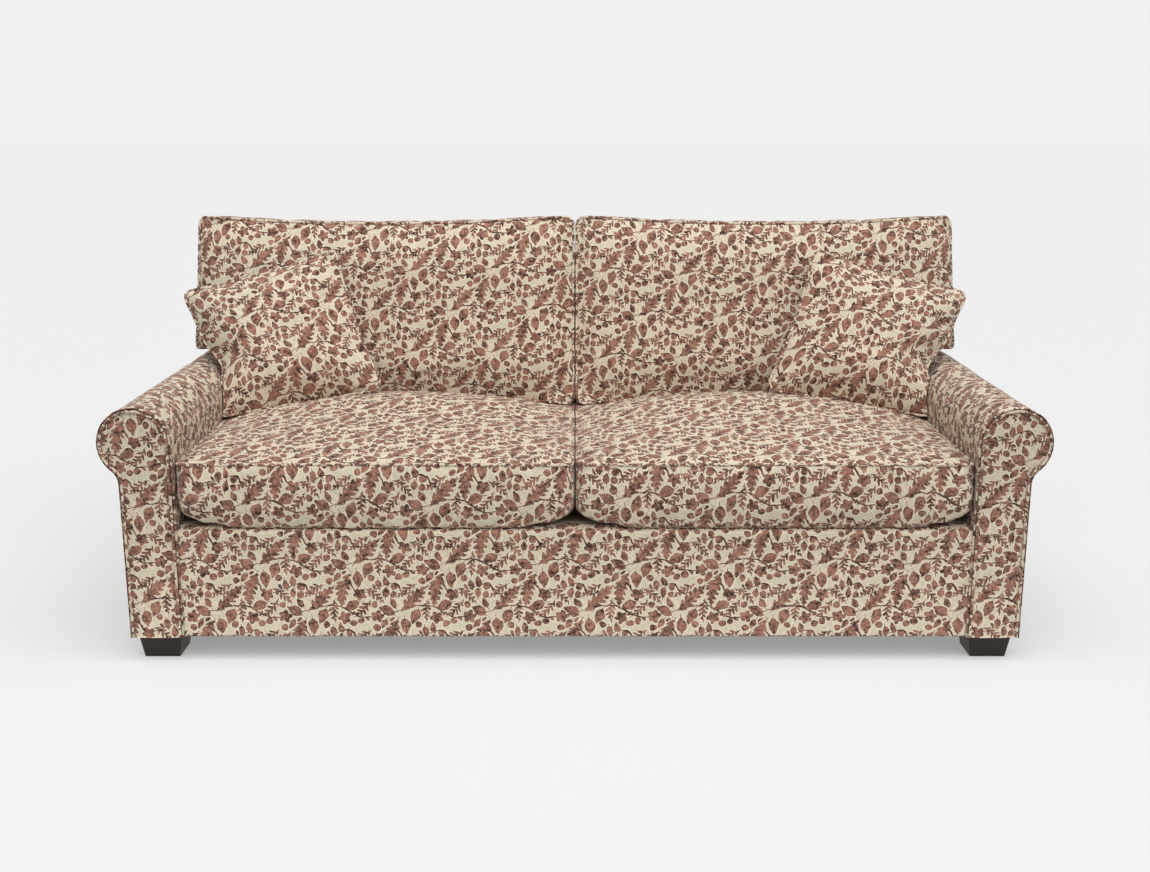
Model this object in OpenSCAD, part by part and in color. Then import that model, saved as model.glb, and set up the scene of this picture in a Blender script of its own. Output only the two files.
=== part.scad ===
// Three-seater sofa with scroll arms, two long seat cushions, two T-shaped back cushions and two
// scatter cushions. Front towards -Y, floor at z = 0, left is -X as seen from the front.

/* [Overall] */
// Width over the two arm rolls
overall_w = 2100; // [1800:10:2500]
// Depth from the arm fronts to the crest of the back
overall_d = 980; // [900:10:1100]
// Height of the underside of the frame, which is the height of the feet
base_z = 58; // [30:1:120]
// Height of the seat deck
deck_z = 315; // [260:5:340]

/* [Arms] */
// Thickness of the upright part of an arm
arm_wall_w = 118; // [100:1:140]
// Radius of the arm roll
roll_r = 80; // [70:1:95]
// Height of the top of the arm
arm_h = 590; // [540:5:640]
// Radius of the hollow curve under the arm roll
cove_r = 30; // [15:1:45]
// Width of the rim that the arm cover shows round its front panel
panel_rim = 6; // [3:0.5:10]
// Radius of the piping
piping_r = 3; // [2:0.5:5]

/* [Back] */
// Lean of the inside back
back_lean = 12; // [8:0.5:15]
// Rake of the outside back
rear_lean = 4.5; // [2:0.5:6]
// Height of the crest of the upholstered back
back_h = 835; // [760:5:880]
// Radius of the crest
crest_r = 40; // [34:1:44]
// Reach of the back's ears beyond the arm's inside face
ear_reach = 118; // [80:1:150]

/* [Covers and frame] */
// Thickness of a cover with the padding under it
cover_t = 12; // [8:0.5:15]
// Thickness of the frame boards
board_t = 28; // [22:1:34]
// Thickness of the seat deck felt and cloth
deck_t = 13.5; // [10:0.5:18]
// Distance from the arm's inside face to a back post
post_inset = 46; // [30:1:90]
// Depth of the back's top rail below the middle of the crest
top_rail_drop = 60; // [40:1:90]
// Height of the spring wire
wire_t = 4; // [3:0.5:5]
// Number of seat springs
spring_count = 8; // [6:2:12]
// Number of back webbing straps
strap_count = 8; // [4:2:12]
// Thickness of the back webbing
strap_t = 2; // [1:0.5:3]

/* [Feet] */
// Side of a foot at the top
foot_top_w = 98; // [80:1:104]
// Side of a foot at the floor
foot_bottom_w = 80; // [60:1:96]
// Distance from a foot to the frame's front or rear face
foot_inset = 8; // [4:1:20]
// Radius of the foot bolts
bolt_r = 4; // [3:0.5:5]

/* [Seat cushions] */
// Depth of a seat cushion
seat_d = 765; // [700:5:780]
// Gap between a seat cushion's lower rear edge and the inside back
seat_back_gap = 7.2; // [2:0.1:20]
// Radius of a seat cushion's corners
seat_corner_r = 26; // [15:1:50]
// Height of a seat cushion's border
seat_border = 145; // [120:1:165]
// Height of a seat cushion's crown above its border
seat_crown = 35; // [15:1:45]
// Radius of a seat cushion's rolled lower edge
seat_tuck = 38; // [20:1:50]
// Clearance beside each seat cushion
side_gap = 1.5; // [1:0.1:4]

/* [Back cushions] */
// Thickness of a back cushion at its edges
back_t = 196; // [150:1:205]
// Height of a back cushion's crown in front of its edges
back_crown = 34; // [15:1:45]
// Height of a back cushion's top corners
cushion_top_z = 952; // [900:1:990]
// Height of the underside of a back cushion's ears above the arms
ear_lift = 23; // [15:1:80]
// Reach of a back cushion's ear beyond the arm's inside face
cushion_ear_reach = 121; // [80:1:200]
// Radius of a back cushion's corners
back_corner_r = 24; // [15:1:40]

/* [Scatter cushions] */
// Width of a scatter cushion
scatter_w = 394; // [350:2:430]
// Height of a scatter cushion
scatter_h = 364; // [340:2:400]
// Thickness of a scatter cushion in its middle
scatter_t = 116; // [80:1:140]
// Turn of a scatter cushion about its own middle
scatter_turn = 15; // [5:1:25]
// Lean of a scatter cushion
scatter_lean = 24; // [16:1:28]
// Clearance between the arm roll and a scatter cushion's piped edge
scatter_arm_gap = 10; // [9:0.5:60]
// Depth by which a scatter cushion's sides are drawn in
scatter_draw = 18; // [8:1:30]
// Margin of a scatter cushion's pad inside its cover
pad_margin = 31; // [24:1:60]
// Height of a scatter cushion's middle above the seat cushions' piping
scatter_rise = 207; // [205:1:260]

/* [Zips] */
// Length of a seat cushion's zip
seat_zip_l = 700; // [400:10:760]
// Length of a back cushion's zip
back_zip_l = 600; // [400:10:700]
// Width of the zip tape
tape_w = 24; // [18:1:30]
// Thickness of the zip tape
tape_t = 2; // [1:0.5:3]

/* [Hidden] */

// Clearance round a soft solid
soft_gap = 0.4;
// Gap between the outside back and the frame
bare_gap = 0.1;
// Length of the facets along a soft solid's outline, and along a scatter cushion's
soft_pitch = 105;
scatter_pitch = 51;
// Overlap that makes a cut run right through
cut = 1;

front_y = -overall_d / 2;
roll_x = overall_w / 2 - roll_r;
roll_z = arm_h - roll_r;
arm_in = roll_x - roll_r;
arm_out = arm_in + arm_wall_w;
cove_x = arm_out + cove_r;
cove_z = roll_z - sqrt(pow(roll_r + cove_r, 2) - pow(cove_x - roll_x, 2));
ear_x = arm_in + ear_reach;
crest_y = overall_d / 2 - crest_r;
crest_z = back_h - crest_r;

// Front to back, the arm front is piping, then panel, then scroll board
panel_y = front_y + 2 * piping_r + 0.2;
board_y = panel_y + cover_t;
rail_top = deck_z - deck_t - wire_t - 2.5;
top_rail_z = crest_z - top_rail_drop;
timber_inset = cover_t + strap_t + 0.4;

// Seat cushions
seat_floor = deck_z + soft_gap;
seat_rear = inside_y(seat_floor) - seat_back_gap;
seat_front = seat_rear - seat_d;
seat_mid_y = (seat_front + seat_rear) / 2;
seat_w = arm_in - 2 * side_gap;
seat_mid_x = arm_in / 2;
seat_top = seat_floor + seat_border;

// Height of the seat cushion's surface above its border, at p and q half widths from its middle
function seat_rise(p, q) = seat_crown * (1 - p * p) * pow(max(0, 1 - q * q), 1.2);

// Y of a plane parallel to the inside back, and to the outside back, at a depth inside the cover
function inside_y(z, inset = 0) =
    crest_y - (crest_r - inset) * cos(back_lean)
    + (z - crest_z - (crest_r - inset) * sin(back_lean)) * tan(back_lean);
function outside_y(z, inset = 0) =
    crest_y + (crest_r - inset) * cos(rear_lean)
    + (z - crest_z + (crest_r - inset) * sin(rear_lean)) * tan(rear_lean);

// Back cushions
ear_z = arm_h + ear_lift;
cushion_ear_x = arm_in + cushion_ear_reach;
back_front_low_y = inside_y(seat_top) - (back_t + soft_gap) / cos(back_lean);
back_floor = seat_top + 2.4;
back_arc = seat_rise(0, (back_front_low_y - seat_mid_y) / (seat_d / 2));

// Scatter cushions lean on the fullest plane of the back cushions. Their side view is nearly an
// ellipse, which leans further than that plane, so its reach towards the plane follows from both
scatter_z = seat_top + scatter_rise;
more_lean = scatter_lean - back_lean;
scatter_reach = norm([scatter_t / 2 * cos(more_lean), 0.48 * scatter_h * sin(more_lean)]);
scatter_y = inside_y(scatter_z) - (back_t + back_crown + scatter_reach + soft_gap) / cos(back_lean);

// The outer edge of a scatter cushion leans over the roll, as seen from the front
edge_lean = atan(sin(scatter_turn) / (cos(scatter_turn) * cos(scatter_lean)));
edge_reach = (scatter_w / 2 - scatter_draw) * (
    cos(scatter_turn) * cos(edge_lean) + sin(scatter_turn) * cos(scatter_lean) * sin(edge_lean));
scatter_x = roll_x - (roll_r + scatter_arm_gap + (roll_z - scatter_z) * sin(edge_lean) + edge_reach) / cos(edge_lean);

// Feet
foot_x = (arm_in + arm_out) / 2;
foot_front_y = board_y + foot_inset + foot_top_w / 2;
foot_rear_y = outside_y(base_z) - foot_inset - cover_t - foot_top_w / 2;
block_h = 90;
bolt_low_z = base_z - 26;
tee_flange_r = 11;

fabric_c = [0.80, 0.72, 0.60];
lining_c = [0.86, 0.83, 0.74];
timber_c = [0.78, 0.64, 0.45];
steel_c = [0.60, 0.61, 0.63];
foam_c = [0.93, 0.91, 0.80];
black_c = [0.12, 0.11, 0.10];
foot_c = [0.13, 0.08, 0.06];

// Placing

module on_side(side) {
    mirror([side < 0 ? 1 : 0, 0, 0]) children();
}

// Extrudes a front view, drawn in x and z, from y0 to y1
module along_y(y0, y1) {
    translate([0, y1, 0]) rotate([90, 0, 0]) linear_extrude(y1 - y0) children();
}

// Extrudes a side view, drawn in y and z, from x0 to x1
module along_x(x0, x1) {
    translate([x0, 0, 0]) rotate([90, 0, 90]) linear_extrude(x1 - x0) children();
}

module box(low, high) {
    translate(low) cube(high - low);
}

// Sections

// Front view of an arm: a roll on an upright, with a cove that blends them on the outside
module arm_section(inset, low = base_z) {
    translate([roll_x, roll_z]) circle(r = roll_r - inset, $fn = 96);
    translate([arm_in + inset, low]) square([arm_wall_w - 2 * inset, roll_z - low]);
    difference() {
        polygon([[roll_x, roll_z], [arm_out - inset - cut, cove_z], [cove_x, cove_z]]);
        translate([cove_x, cove_z]) circle(r = cove_r + inset, $fn = 96);
    }
}

// Side view of the upholstered back, with its round crest
module back_section(inset, low) {
    r = crest_r - inset;
    translate([crest_y, crest_z]) circle(r = r, $fn = 96);
    polygon([
        [inside_y(low, inset), low],
        [outside_y(low, inset), low],
        [crest_y + r * cos(rear_lean), crest_z - r * sin(rear_lean)],
        [crest_y - r * cos(back_lean), crest_z + r * sin(back_lean)]
    ]);
}

// Front view of the back: narrow between the arms, wide above them
module back_outline(inset, low) {
    narrow = arm_in - inset;
    wide = ear_x - inset;
    ear_low = arm_h + 0.5 + inset;
    translate([-narrow, low]) square([2 * narrow, back_h + cut - low]);
    translate([-wide, ear_low]) square([2 * wide, back_h + cut - ear_low]);
}

module back_block(inset, low) {
    intersection() {
        along_x(-ear_x, ear_x) back_section(inset, low);
        along_y(0, overall_d) back_outline(inset, low);
    }
}

// Side view of a slab parallel to the outside back, between two depths inside the cover
module raked_slab(near, far, low, high) {
    polygon([
        [outside_y(low, far), low],
        [outside_y(low, near), low],
        [outside_y(high, near), high],
        [outside_y(high, far), high]
    ]);
}

// Everything behind a plane parallel to the outside back
module behind(inset) {
    along_x(-overall_w, overall_w) raked_slab(inset - overall_d, inset, base_z - 50, back_h + 50);
}

// The part of each rear arm board that rises through the arm roll into the ear of the back
module ear_upstand(clear) {
    along_x(arm_in + 35 - clear, arm_out - 23 + clear)
        raked_slab(cover_t - clear, cover_t + board_t + clear, roll_z, top_rail_z);
}

// Soft forms

function unit(v) = v / norm(v);
function left_of(a, b) = let (d = unit(b - a)) [-d.y, d.x];

// Outline of a soft panel, anticlockwise: round corners, and sides drawn in along parabolas
function soft_outline(corners, corner_r, draws, pitch) = [
    for (i = [0 : len(corners) - 1])
        let (
            n = len(corners),
            here = corners[i],
            next = corners[(i + 1) % n],
            last = corners[(i + n - 1) % n],
            a = here + corner_r * unit(last - here),
            b = here + corner_r * unit(next - here),
            c = next - corner_r * unit(next - here),
            steps = max(1, round(norm(c - b) / pitch))
        )
        each concat(
            [for (k = [0 : 2]) let (t = k / 3)
                (1 - t) * (1 - t) * a + 2 * t * (1 - t) * here + t * t * b],
            [for (k = [0 : steps - 1]) let (t = k / steps)
                b + (c - b) * t + draws[i] * 4 * t * (1 - t) * left_of(here, next)]
        )
];

// Solid through a stack of rings of equal count, closed by a fan at each end
module ring_solid(rings) {
    n = len(rings[0]);
    m = len(rings);
    function middle(ring) = [for (k = [0 : 2]) [for (p = ring) p[k]] * [for (p = ring) 1] / n];
    points = concat([for (ring = rings) each ring], [middle(rings[0]), middle(rings[m - 1])]);
    sides = [
        for (j = [0 : m - 2], i = [0 : n - 1])
            let (a = j * n + i, b = j * n + (i + 1) % n)
            each [[a, a + n, b], [b, a + n, b + n]]
    ];
    ends = [
        for (i = [0 : n - 1])
            each [[i, (i + 1) % n, m * n], [(m - 1) * n + (i + 1) % n, (m - 1) * n + i, m * n + 1]]
    ];
    polyhedron(points, concat(sides, ends));
}

// Boxed seat cushion: tucked lower edge, full border, and a crown that is highest behind the middle
module seat_cushion_form() {
    hx = seat_w / 2;
    hy = seat_d / 2;
    outline = soft_outline(
        [[-hx, -hy], [hx, -hy], [hx, hy], [-hx, hy]], seat_corner_r, [-2, 0, 0, 0], soft_pitch);
    function level(inset, z) = [
        for (p = outline)
            [p.x * (1 - inset / hx) + seat_mid_x, p.y * (1 - inset / hy) + seat_mid_y, seat_floor + z]
    ];
    function crown_level(s) = [
        for (p = outline)
            [p.x * s + seat_mid_x, p.y * s + seat_mid_y,
             seat_top + seat_rise(p.x * s / hx, p.y * s / hy)]
    ];
    border = [
        for (a = [0, 30, 60]) [seat_tuck * (1 - sin(a)), seat_tuck * (1 - cos(a))],
        [0, seat_tuck], [0, (seat_border + seat_tuck) / 2], [1, seat_border - 18], [5, seat_border]
    ];
    ring_solid(concat(
        [for (b = border) level(b[0], b[1])],
        [for (s = [0.97, 0.9, 0.78, 0.6, 0.38, 0.15]) crown_level(s)]
    ));
}

// T-shaped back cushion. Its panel is drawn in x and z, its depth is measured from the inside back,
// its underside lies on the seat cushion and its top slopes down to the rear
module back_cushion_form() {
    outer = cushion_ear_x;
    neck = arm_in - side_gap;
    outline = soft_outline(
        [[side_gap, back_floor], [neck, back_floor], [neck, ear_z], [outer, ear_z],
         [outer, cushion_top_z], [side_gap, cushion_top_z]],
        back_corner_r, [back_arc, 2, 0, 5, 19, 3], soft_pitch);
    centre = [arm_in / 2, (ear_z + cushion_top_z) / 2 - 40];
    top_drop = back_t * sin(back_lean);
    function place(p, depth) =
        let (
            up = (p.y - back_floor) / (cushion_top_z - back_floor),
            z = p.y - top_drop * pow(up, 3) * max(0, 1 - depth / back_t)
        )
        [p.x, inside_y(z) - (soft_gap + depth) / cos(back_lean), z];
    function level(s, depth) = [for (p = outline) place(centre + (p - centre) * s, depth)];
    border = [[0.975, 0], [0.993, 10], [0.999, 40], [1, back_t / 2], [0.999, back_t - 30], [0.99, back_t]];
    ring_solid(concat(
        [for (b = border) level(b[0], b[1])],
        [for (s = [0.95, 0.87, 0.75, 0.6, 0.42, 0.22])
            level(s, back_t + back_crown * pow(1 - s * s, 0.75))]
    ));
}

// Pillow with a knife edge: pointed corners, drawn-in sides and a crown on both faces
module pillow(width, height, thick, draw, pitch, scales) {
    hx = width / 2;
    hy = height / 2;
    outline = soft_outline(
        [[-hx, -hy], [hx, -hy], [hx, hy], [-hx, hy]], width * 0.05, [draw, draw, draw, draw], pitch);
    function level(s, face) = [
        for (p = outline) [p.x * s, p.y * s, face * thick / 2 * pow(1 - s * s, 0.62)]
    ];
    ring_solid(concat(
        [for (i = [len(scales) - 1 : -1 : 0]) level(scales[i], -1)],
        [[for (p = outline) [p.x, p.y, 0]]],
        [for (s = scales) level(s, 1)]
    ));
}

module place_scatter() {
    translate([scatter_x, scatter_y, scatter_z])
        rotate([90 - scatter_lean, 0, 0])
            rotate([0, 0, -scatter_turn])
                children();
}

// Frame

module front_rail() {
    color(timber_c) box([-arm_in - cover_t, board_y, base_z], [arm_in + cover_t, board_y + board_t, rail_top]);
}

module back_rail() {
    color(timber_c) along_x(-arm_in - cover_t, arm_in + cover_t)
        raked_slab(cover_t, cover_t + board_t, base_z, rail_top);
}

module side_rail(side) {
    color(timber_c) on_side(side) difference() {
        box([arm_out - cover_t - board_t, board_y + board_t, base_z],
            [arm_out - cover_t, overall_d, rail_top]);
        behind(cover_t + board_t);
    }
}

// Two rails tie the front rail to the back rail, low enough to clear the sagging springs
module seat_cross_rails() {
    rail_h = 90;
    drop = 40;
    color(timber_c) for (x = [-1, 1] * arm_in / 3) difference() {
        box([x - board_t / 2, board_y + board_t, rail_top - drop - rail_h],
            [x + board_t / 2, overall_d, rail_top - drop]);
        behind(cover_t + board_t);
    }
}

module foot_places() {
    for (side = [-1, 1], y = [foot_front_y, foot_rear_y])
        translate([side * foot_x, y, 0]) children();
}

module corner_blocks() {
    inner = arm_in - 42;
    outer = arm_out - cover_t - board_t;
    color(timber_c) difference() {
        for (side = [-1, 1]) on_side(side) {
            box([inner, board_y + board_t, base_z], [outer, foot_front_y + 30, base_z + block_h]);
            box([inner, foot_rear_y - 30, base_z],
                [outer, outside_y(base_z, cover_t + board_t) - soft_gap, base_z + block_h]);
        }
        foot_places() cylinder(r = bolt_r + 2.3, h = 2 * block_h + base_z, $fn = 32);
    }
}

module arm_scroll_board(side) {
    color(timber_c) on_side(side) along_y(board_y, board_y + board_t) arm_section(cover_t);
}

module arm_rear_board(side) {
    color(timber_c) on_side(side) {
        difference() {
            intersection() {
                along_y(0, overall_d) arm_section(cover_t);
                behind(cover_t + board_t);
            }
            behind(cover_t);
        }
        ear_upstand(0);
    }
}

// Half-round rail that the arm padding is rolled over
module arm_top_rail(side) {
    r = roll_r - cover_t - soft_gap;
    color(timber_c) on_side(side) difference() {
        intersection() {
            along_y(board_y + board_t, overall_d) translate([roll_x, roll_z]) circle(r = r, $fn = 96);
            box([roll_x - r, board_y, roll_z + r * 0.25], [roll_x + r, overall_d, arm_h]);
        }
        behind(cover_t + board_t);
    }
}

// Lower rail inside each arm, where the inside arm cover is pulled through and tacked
module arm_slat(side) {
    slat_h = 60;
    color(timber_c) on_side(side) difference() {
        box([arm_in + cover_t, board_y + board_t, deck_z - deck_t - slat_h / 2],
            [arm_in + cover_t + board_t, overall_d, deck_z - deck_t + slat_h / 2]);
        behind(cover_t + board_t);
    }
}

// Shaped upright: foot in front of the back rail, then the full depth of the back up to the top rail
module post_section() {
    toe = 70;
    polygon([
        [outside_y(base_z, cover_t + board_t) - toe, base_z],
        [outside_y(base_z, cover_t + board_t), base_z],
        [outside_y(rail_top, cover_t + board_t), rail_top],
        [outside_y(rail_top, cover_t), rail_top],
        [outside_y(top_rail_z, cover_t), top_rail_z],
        [inside_y(top_rail_z, timber_inset), top_rail_z],
        [inside_y(deck_z + 60, timber_inset), deck_z + 60],
        [inside_y(rail_top, timber_inset), rail_top]
    ]);
}

module back_post(side) {
    outer = arm_in - post_inset;
    color(timber_c) on_side(side) along_x(outer - board_t, outer) post_section();
}

module back_centre_post() {
    color(timber_c) along_x(-board_t / 2, board_t / 2) post_section();
}

module back_top_rail() {
    half = ear_x - cover_t - soft_gap;
    color(timber_c) along_x(-half, half) intersection() {
        union() {
            translate([crest_y, crest_z]) circle(r = crest_r - timber_inset, $fn = 96);
            polygon([
                [inside_y(top_rail_z, timber_inset), top_rail_z],
                [outside_y(top_rail_z, timber_inset), top_rail_z],
                [outside_y(crest_z, timber_inset), crest_z],
                [inside_y(crest_z, timber_inset), crest_z]
            ]);
        }
        translate([0, top_rail_z]) square([overall_d, 2 * crest_r + top_rail_drop]);
    }
}

// Rail at the foot of the inside back, in three lengths between the posts
module back_lower_rail() {
    rail_h = 60;
    low = deck_z + 6;
    post_x = arm_in - 46 - board_t;
    color(timber_c) for (side = [-1, 1]) on_side(side) along_x(board_t / 2, post_x)
        polygon([
            [inside_y(low, timber_inset), low],
            [inside_y(low, timber_inset + board_t), low],
            [inside_y(low + rail_h, timber_inset + board_t), low + rail_h],
            [inside_y(low + rail_h, timber_inset), low + rail_h]
        ]);
}

// Springs and webbing

// Outline of a wire that runs along square turns, drawn at half its width either side
function wire_outline(path, half) =
    let (
        last = len(path) - 1,
        lean = [for (i = [0 : last])
            (i > 0 ? left_of(path[i - 1], path[i]) : [0, 0])
            + (i < last ? left_of(path[i], path[i + 1]) : [0, 0])]
    )
    concat(
        [for (i = [0 : last]) path[i] + half * lean[i]],
        [for (i = [last : -1 : 0]) path[i] - half * lean[i]]
    );

spring_y0 = board_y + board_t / 2;
spring_y1 = outside_y(rail_top, cover_t + board_t / 2);
spring_turns = 13;
spring_half_w = 24;

function spring_x(i) = (i - (spring_count - 1) / 2) * (2 * arm_in - 180) / spring_count;

// Zig-zag spring: a tail, square turns at an even pitch, and a tail
module seat_springs() {
    tail = 30;
    pitch = (spring_y1 - spring_y0 - 2 * tail) / spring_turns;
    path = concat(
        [[0, spring_y0], [0, spring_y0 + tail]],
        [for (i = [0 : spring_turns - 1])
            let (x = (i % 2 == 0 ? 1 : -1) * spring_half_w)
            each [[x, spring_y0 + tail + i * pitch], [x, spring_y0 + tail + (i + 1) * pitch]]],
        [[0, spring_y1 - tail], [0, spring_y1]]
    );
    color(steel_c) for (i = [0 : spring_count - 1])
        translate([spring_x(i), 0, rail_top])
            linear_extrude(wire_t) polygon(wire_outline(path, wire_t / 2));
}

// A bent clip holds each spring tail down on its rail
module spring_clips() {
    clip_w = 20;
    clip_l = 14;
    color(steel_c) for (i = [0 : spring_count - 1], y = [spring_y0, spring_y1])
        translate([spring_x(i), y, rail_top]) difference() {
            translate([-clip_w / 2, -clip_l / 2, 0]) cube([clip_w, clip_l, wire_t + 1.7]);
            translate([-wire_t / 2 - 0.2, -clip_l / 2 - cut, -cut])
                cube([wire_t + 0.4, clip_l + 2 * cut, wire_t + 0.2 + cut]);
        }
}

module back_webbing() {
    strap_w = 50;
    span = arm_in - 46 - board_t;
    near = cover_t + 0.2;
    low = deck_z + 6;
    high = top_rail_z + 40;
    color(black_c) for (i = [0 : strap_count - 1])
        let (x = (i + 0.5 - strap_count / 2) * 2 * span / strap_count)
        along_x(x - strap_w / 2, x + strap_w / 2) polygon([
            [inside_y(low, near), low],
            [inside_y(low, near + strap_t), low],
            [inside_y(high, near + strap_t), high],
            [inside_y(high, near), high]
        ]);
}

module seat_deck() {
    color(lining_c) box(
        [-arm_in, board_y + board_t + 8, deck_z - deck_t],
        [arm_in, inside_y(deck_z - deck_t), deck_z]);
}

// Covers

// Front border with a lip that turns over the front rail to meet the seat deck
module front_apron_cover() {
    lip_y = board_y + board_t + 8;
    color(fabric_c) along_x(-arm_in, arm_in) polygon([
        [board_y - cover_t + 3, base_z],
        [board_y, base_z],
        [board_y, deck_z - deck_t],
        [lip_y, deck_z - deck_t],
        [lip_y, deck_z],
        [board_y - cover_t + 8, deck_z],
        [board_y - cover_t + 3, deck_z - 5]
    ]);
}

// Arm cover: outside arm, roll and inside arm, open below and behind the front panel
module arm_cover(side) {
    color(fabric_c) on_side(side) difference() {
        along_y(panel_y, overall_d) arm_section(0);
        along_y(board_y, 2 * overall_d) arm_section(cover_t, base_z - cut);
        along_y(front_y - cut, board_y + cut) arm_section(panel_rim, base_z - cut);
        box([arm_in - cut, board_y, base_z - cut], [arm_in + cover_t + cut, overall_d, deck_z - deck_t]);
        behind(cover_t);
        ear_upstand(soft_gap);
    }
}

module arm_front_panel(side) {
    color(fabric_c) on_side(side) along_y(panel_y, board_y) arm_section(panel_rim);
}

// Piping round the front panel: up the outside, round the roll and down the inside. A wide band and
// a deep band, both inscribed in the cord's circle, make its round section
module arm_piping(side) {
    color(fabric_c) on_side(side) for (a = [32, 58])
        along_y(front_y + piping_r * (1 - sin(a)), front_y + piping_r * (1 + sin(a))) difference() {
            arm_section(panel_rim - piping_r * cos(a));
            arm_section(panel_rim + piping_r * cos(a), base_z - cut);
        }
}

// Inside back and crest, open below and behind
module inside_back_cover() {
    seam_z = crest_z - crest_r * sin(rear_lean);
    color(fabric_c) difference() {
        back_block(0, deck_z - deck_t);
        back_block(cover_t, deck_z - deck_t - cut);
        along_x(-overall_w, overall_w) raked_slab(-cover_t, cover_t, base_z, seam_z);
        for (side = [-1, 1]) on_side(side) ear_upstand(soft_gap);
    }
}

// Outside back: one flat panel that also closes the rear ends of the arms
module outside_back_cover() {
    seam_z = crest_z - crest_r * sin(rear_lean);
    color(fabric_c) intersection() {
        along_x(-overall_w, overall_w) raked_slab(0, cover_t - bare_gap, base_z, seam_z);
        along_y(0, overall_d) {
            for (side = [0, 1]) mirror([side, 0]) arm_section(0);
            translate([-arm_in - cut, base_z]) square([2 * (arm_in + cut), back_h - base_z]);
            translate([-ear_x, roll_z]) square([2 * ear_x, back_h - roll_z]);
        }
    }
}

// Dust cover tacked under the rails, notched round the feet
module dust_cover() {
    cloth_t = 1.5;
    reach = arm_out - cover_t;
    color(black_c) difference() {
        box([-reach, board_y, base_z - cloth_t], [reach, outside_y(base_z) - cover_t - 4, base_z]);
        foot_places() translate([0, 0, base_z]) cube(
            [foot_top_w + 1, foot_top_w + 1, 4 * cloth_t], center = true);
    }
}

// Feet

// Side view of a foot, tapered from the top to the floor
module foot_taper() {
    polygon([
        [-foot_bottom_w / 2, 0], [foot_bottom_w / 2, 0],
        [foot_top_w / 2, base_z], [-foot_top_w / 2, base_z]
    ]);
}

module foot(side, y) {
    color(foot_c) translate([side * foot_x, y, 0]) difference() {
        intersection() {
            along_x(-foot_top_w / 2, foot_top_w / 2) foot_taper();
            along_y(-foot_top_w / 2, foot_top_w / 2) foot_taper();
        }
        translate([0, 0, bolt_low_z]) cylinder(r = bolt_r + 0.2, h = base_z, $fn = 32);
    }
}

module foot_bolts() {
    color(steel_c) foot_places() translate([0, 0, bolt_low_z + 0.2])
        cylinder(r = bolt_r, h = base_z + block_h - bolt_low_z + 8, $fn = 32);
}

// Tee nut on each corner block: a flange on the block and a barrel in its bore
module foot_tee_nuts() {
    barrel_l = 12;
    color(steel_c) foot_places() translate([0, 0, base_z + block_h]) difference() {
        union() {
            cylinder(r = tee_flange_r, h = 1.6, $fn = 12);
            translate([0, 0, -barrel_l]) cylinder(r = bolt_r + 2, h = barrel_l + 0.8, $fn = 12);
        }
        translate([0, 0, -barrel_l - cut]) cylinder(r = bolt_r + 0.2, h = barrel_l + 3 * cut, $fn = 32);
    }
}

// Zips, drawn lying flat with the outside upwards

module zip_channel(length) {
    translate([-length / 2 - 8, -tape_w / 2 - 0.3, -0.3]) cube([length + 16, tape_w + 0.6, 40]);
}

module zip_strip(length) {
    teeth_w = 6;
    teeth_t = 1.6;
    color(lining_c) {
        translate([-length / 2, -tape_w / 2, 0]) cube([length, tape_w, tape_t]);
        translate([-length / 2, -teeth_w / 2, tape_t / 2]) cube([length, teeth_w, teeth_t + tape_t / 2]);
    }
}

// Slider that straddles the teeth, with its tab lying along the tape
module zip_pull(length) {
    slider_l = 14;
    slider_w = 11;
    lift = tape_t + 0.3;
    color(steel_c) translate([-length / 2 + slider_l, 0, lift]) {
        difference() {
            translate([-slider_l / 2, -slider_w / 2, 0]) cube([slider_l, slider_w, 3.2]);
            translate([-slider_l / 2 - cut, -3.3, -cut]) cube([slider_l + 2 * cut, 6.6, 1.7 + cut]);
        }
        translate([slider_l / 2, -3, 1.9]) cube([20, 6, 1.3]);
    }
}

zip_depth = 7;

module place_seat_zip() {
    translate([seat_mid_x, seat_rear - zip_depth, seat_floor + seat_border / 2])
        rotate([-90, 0, 0]) children();
}

module place_back_zip() {
    z = back_floor + 75;
    translate([arm_in / 2, inside_y(z) - (soft_gap + zip_depth) / cos(back_lean), z])
        rotate([-90 - back_lean, 0, 0]) children();
}

// Seat cushions

module seat_core_block(grow) {
    edge = 30;
    box([side_gap + edge - grow, seat_front + edge - grow, seat_floor + 16 - grow],
        [arm_in - side_gap - edge + grow, seat_rear - edge + grow, seat_top - 2 + grow]);
}

module seat_cushion_cover(side) {
    color(fabric_c) on_side(side) difference() {
        seat_cushion_form();
        seat_core_block(soft_gap);
        place_seat_zip() zip_channel(seat_zip_l);
    }
}

module seat_foam_core(side) {
    color(foam_c) on_side(side) seat_core_block(0);
}

module seat_zip(side) {
    on_side(side) place_seat_zip() zip_strip(seat_zip_l);
}

module seat_zip_pull(side) {
    on_side(side) place_seat_zip() zip_pull(seat_zip_l);
}

// Back cushions

// Leaning block inside a back cushion, from one depth to another in front of the inside back
module leaning_block(x0, x1, z0, z1, near, far) {
    along_x(x0, x1) polygon([
        [inside_y(z0) - far / cos(back_lean), z0],
        [inside_y(z0) - near / cos(back_lean), z0],
        [inside_y(z1) - near / cos(back_lean), z1],
        [inside_y(z1) - far / cos(back_lean), z1]
    ]);
}

module back_core_block(grow) {
    edge = 32;
    high = cushion_top_z - 80 + grow;
    near = edge - grow;
    far = back_t - 14 + grow;
    leaning_block(side_gap + edge - grow, arm_in - side_gap - edge + grow,
        back_floor + back_arc + 12 - grow, high, near, far);
    leaning_block(arm_in / 2, cushion_ear_x - edge + grow, ear_z + edge - grow, high, near, far);
}

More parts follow.
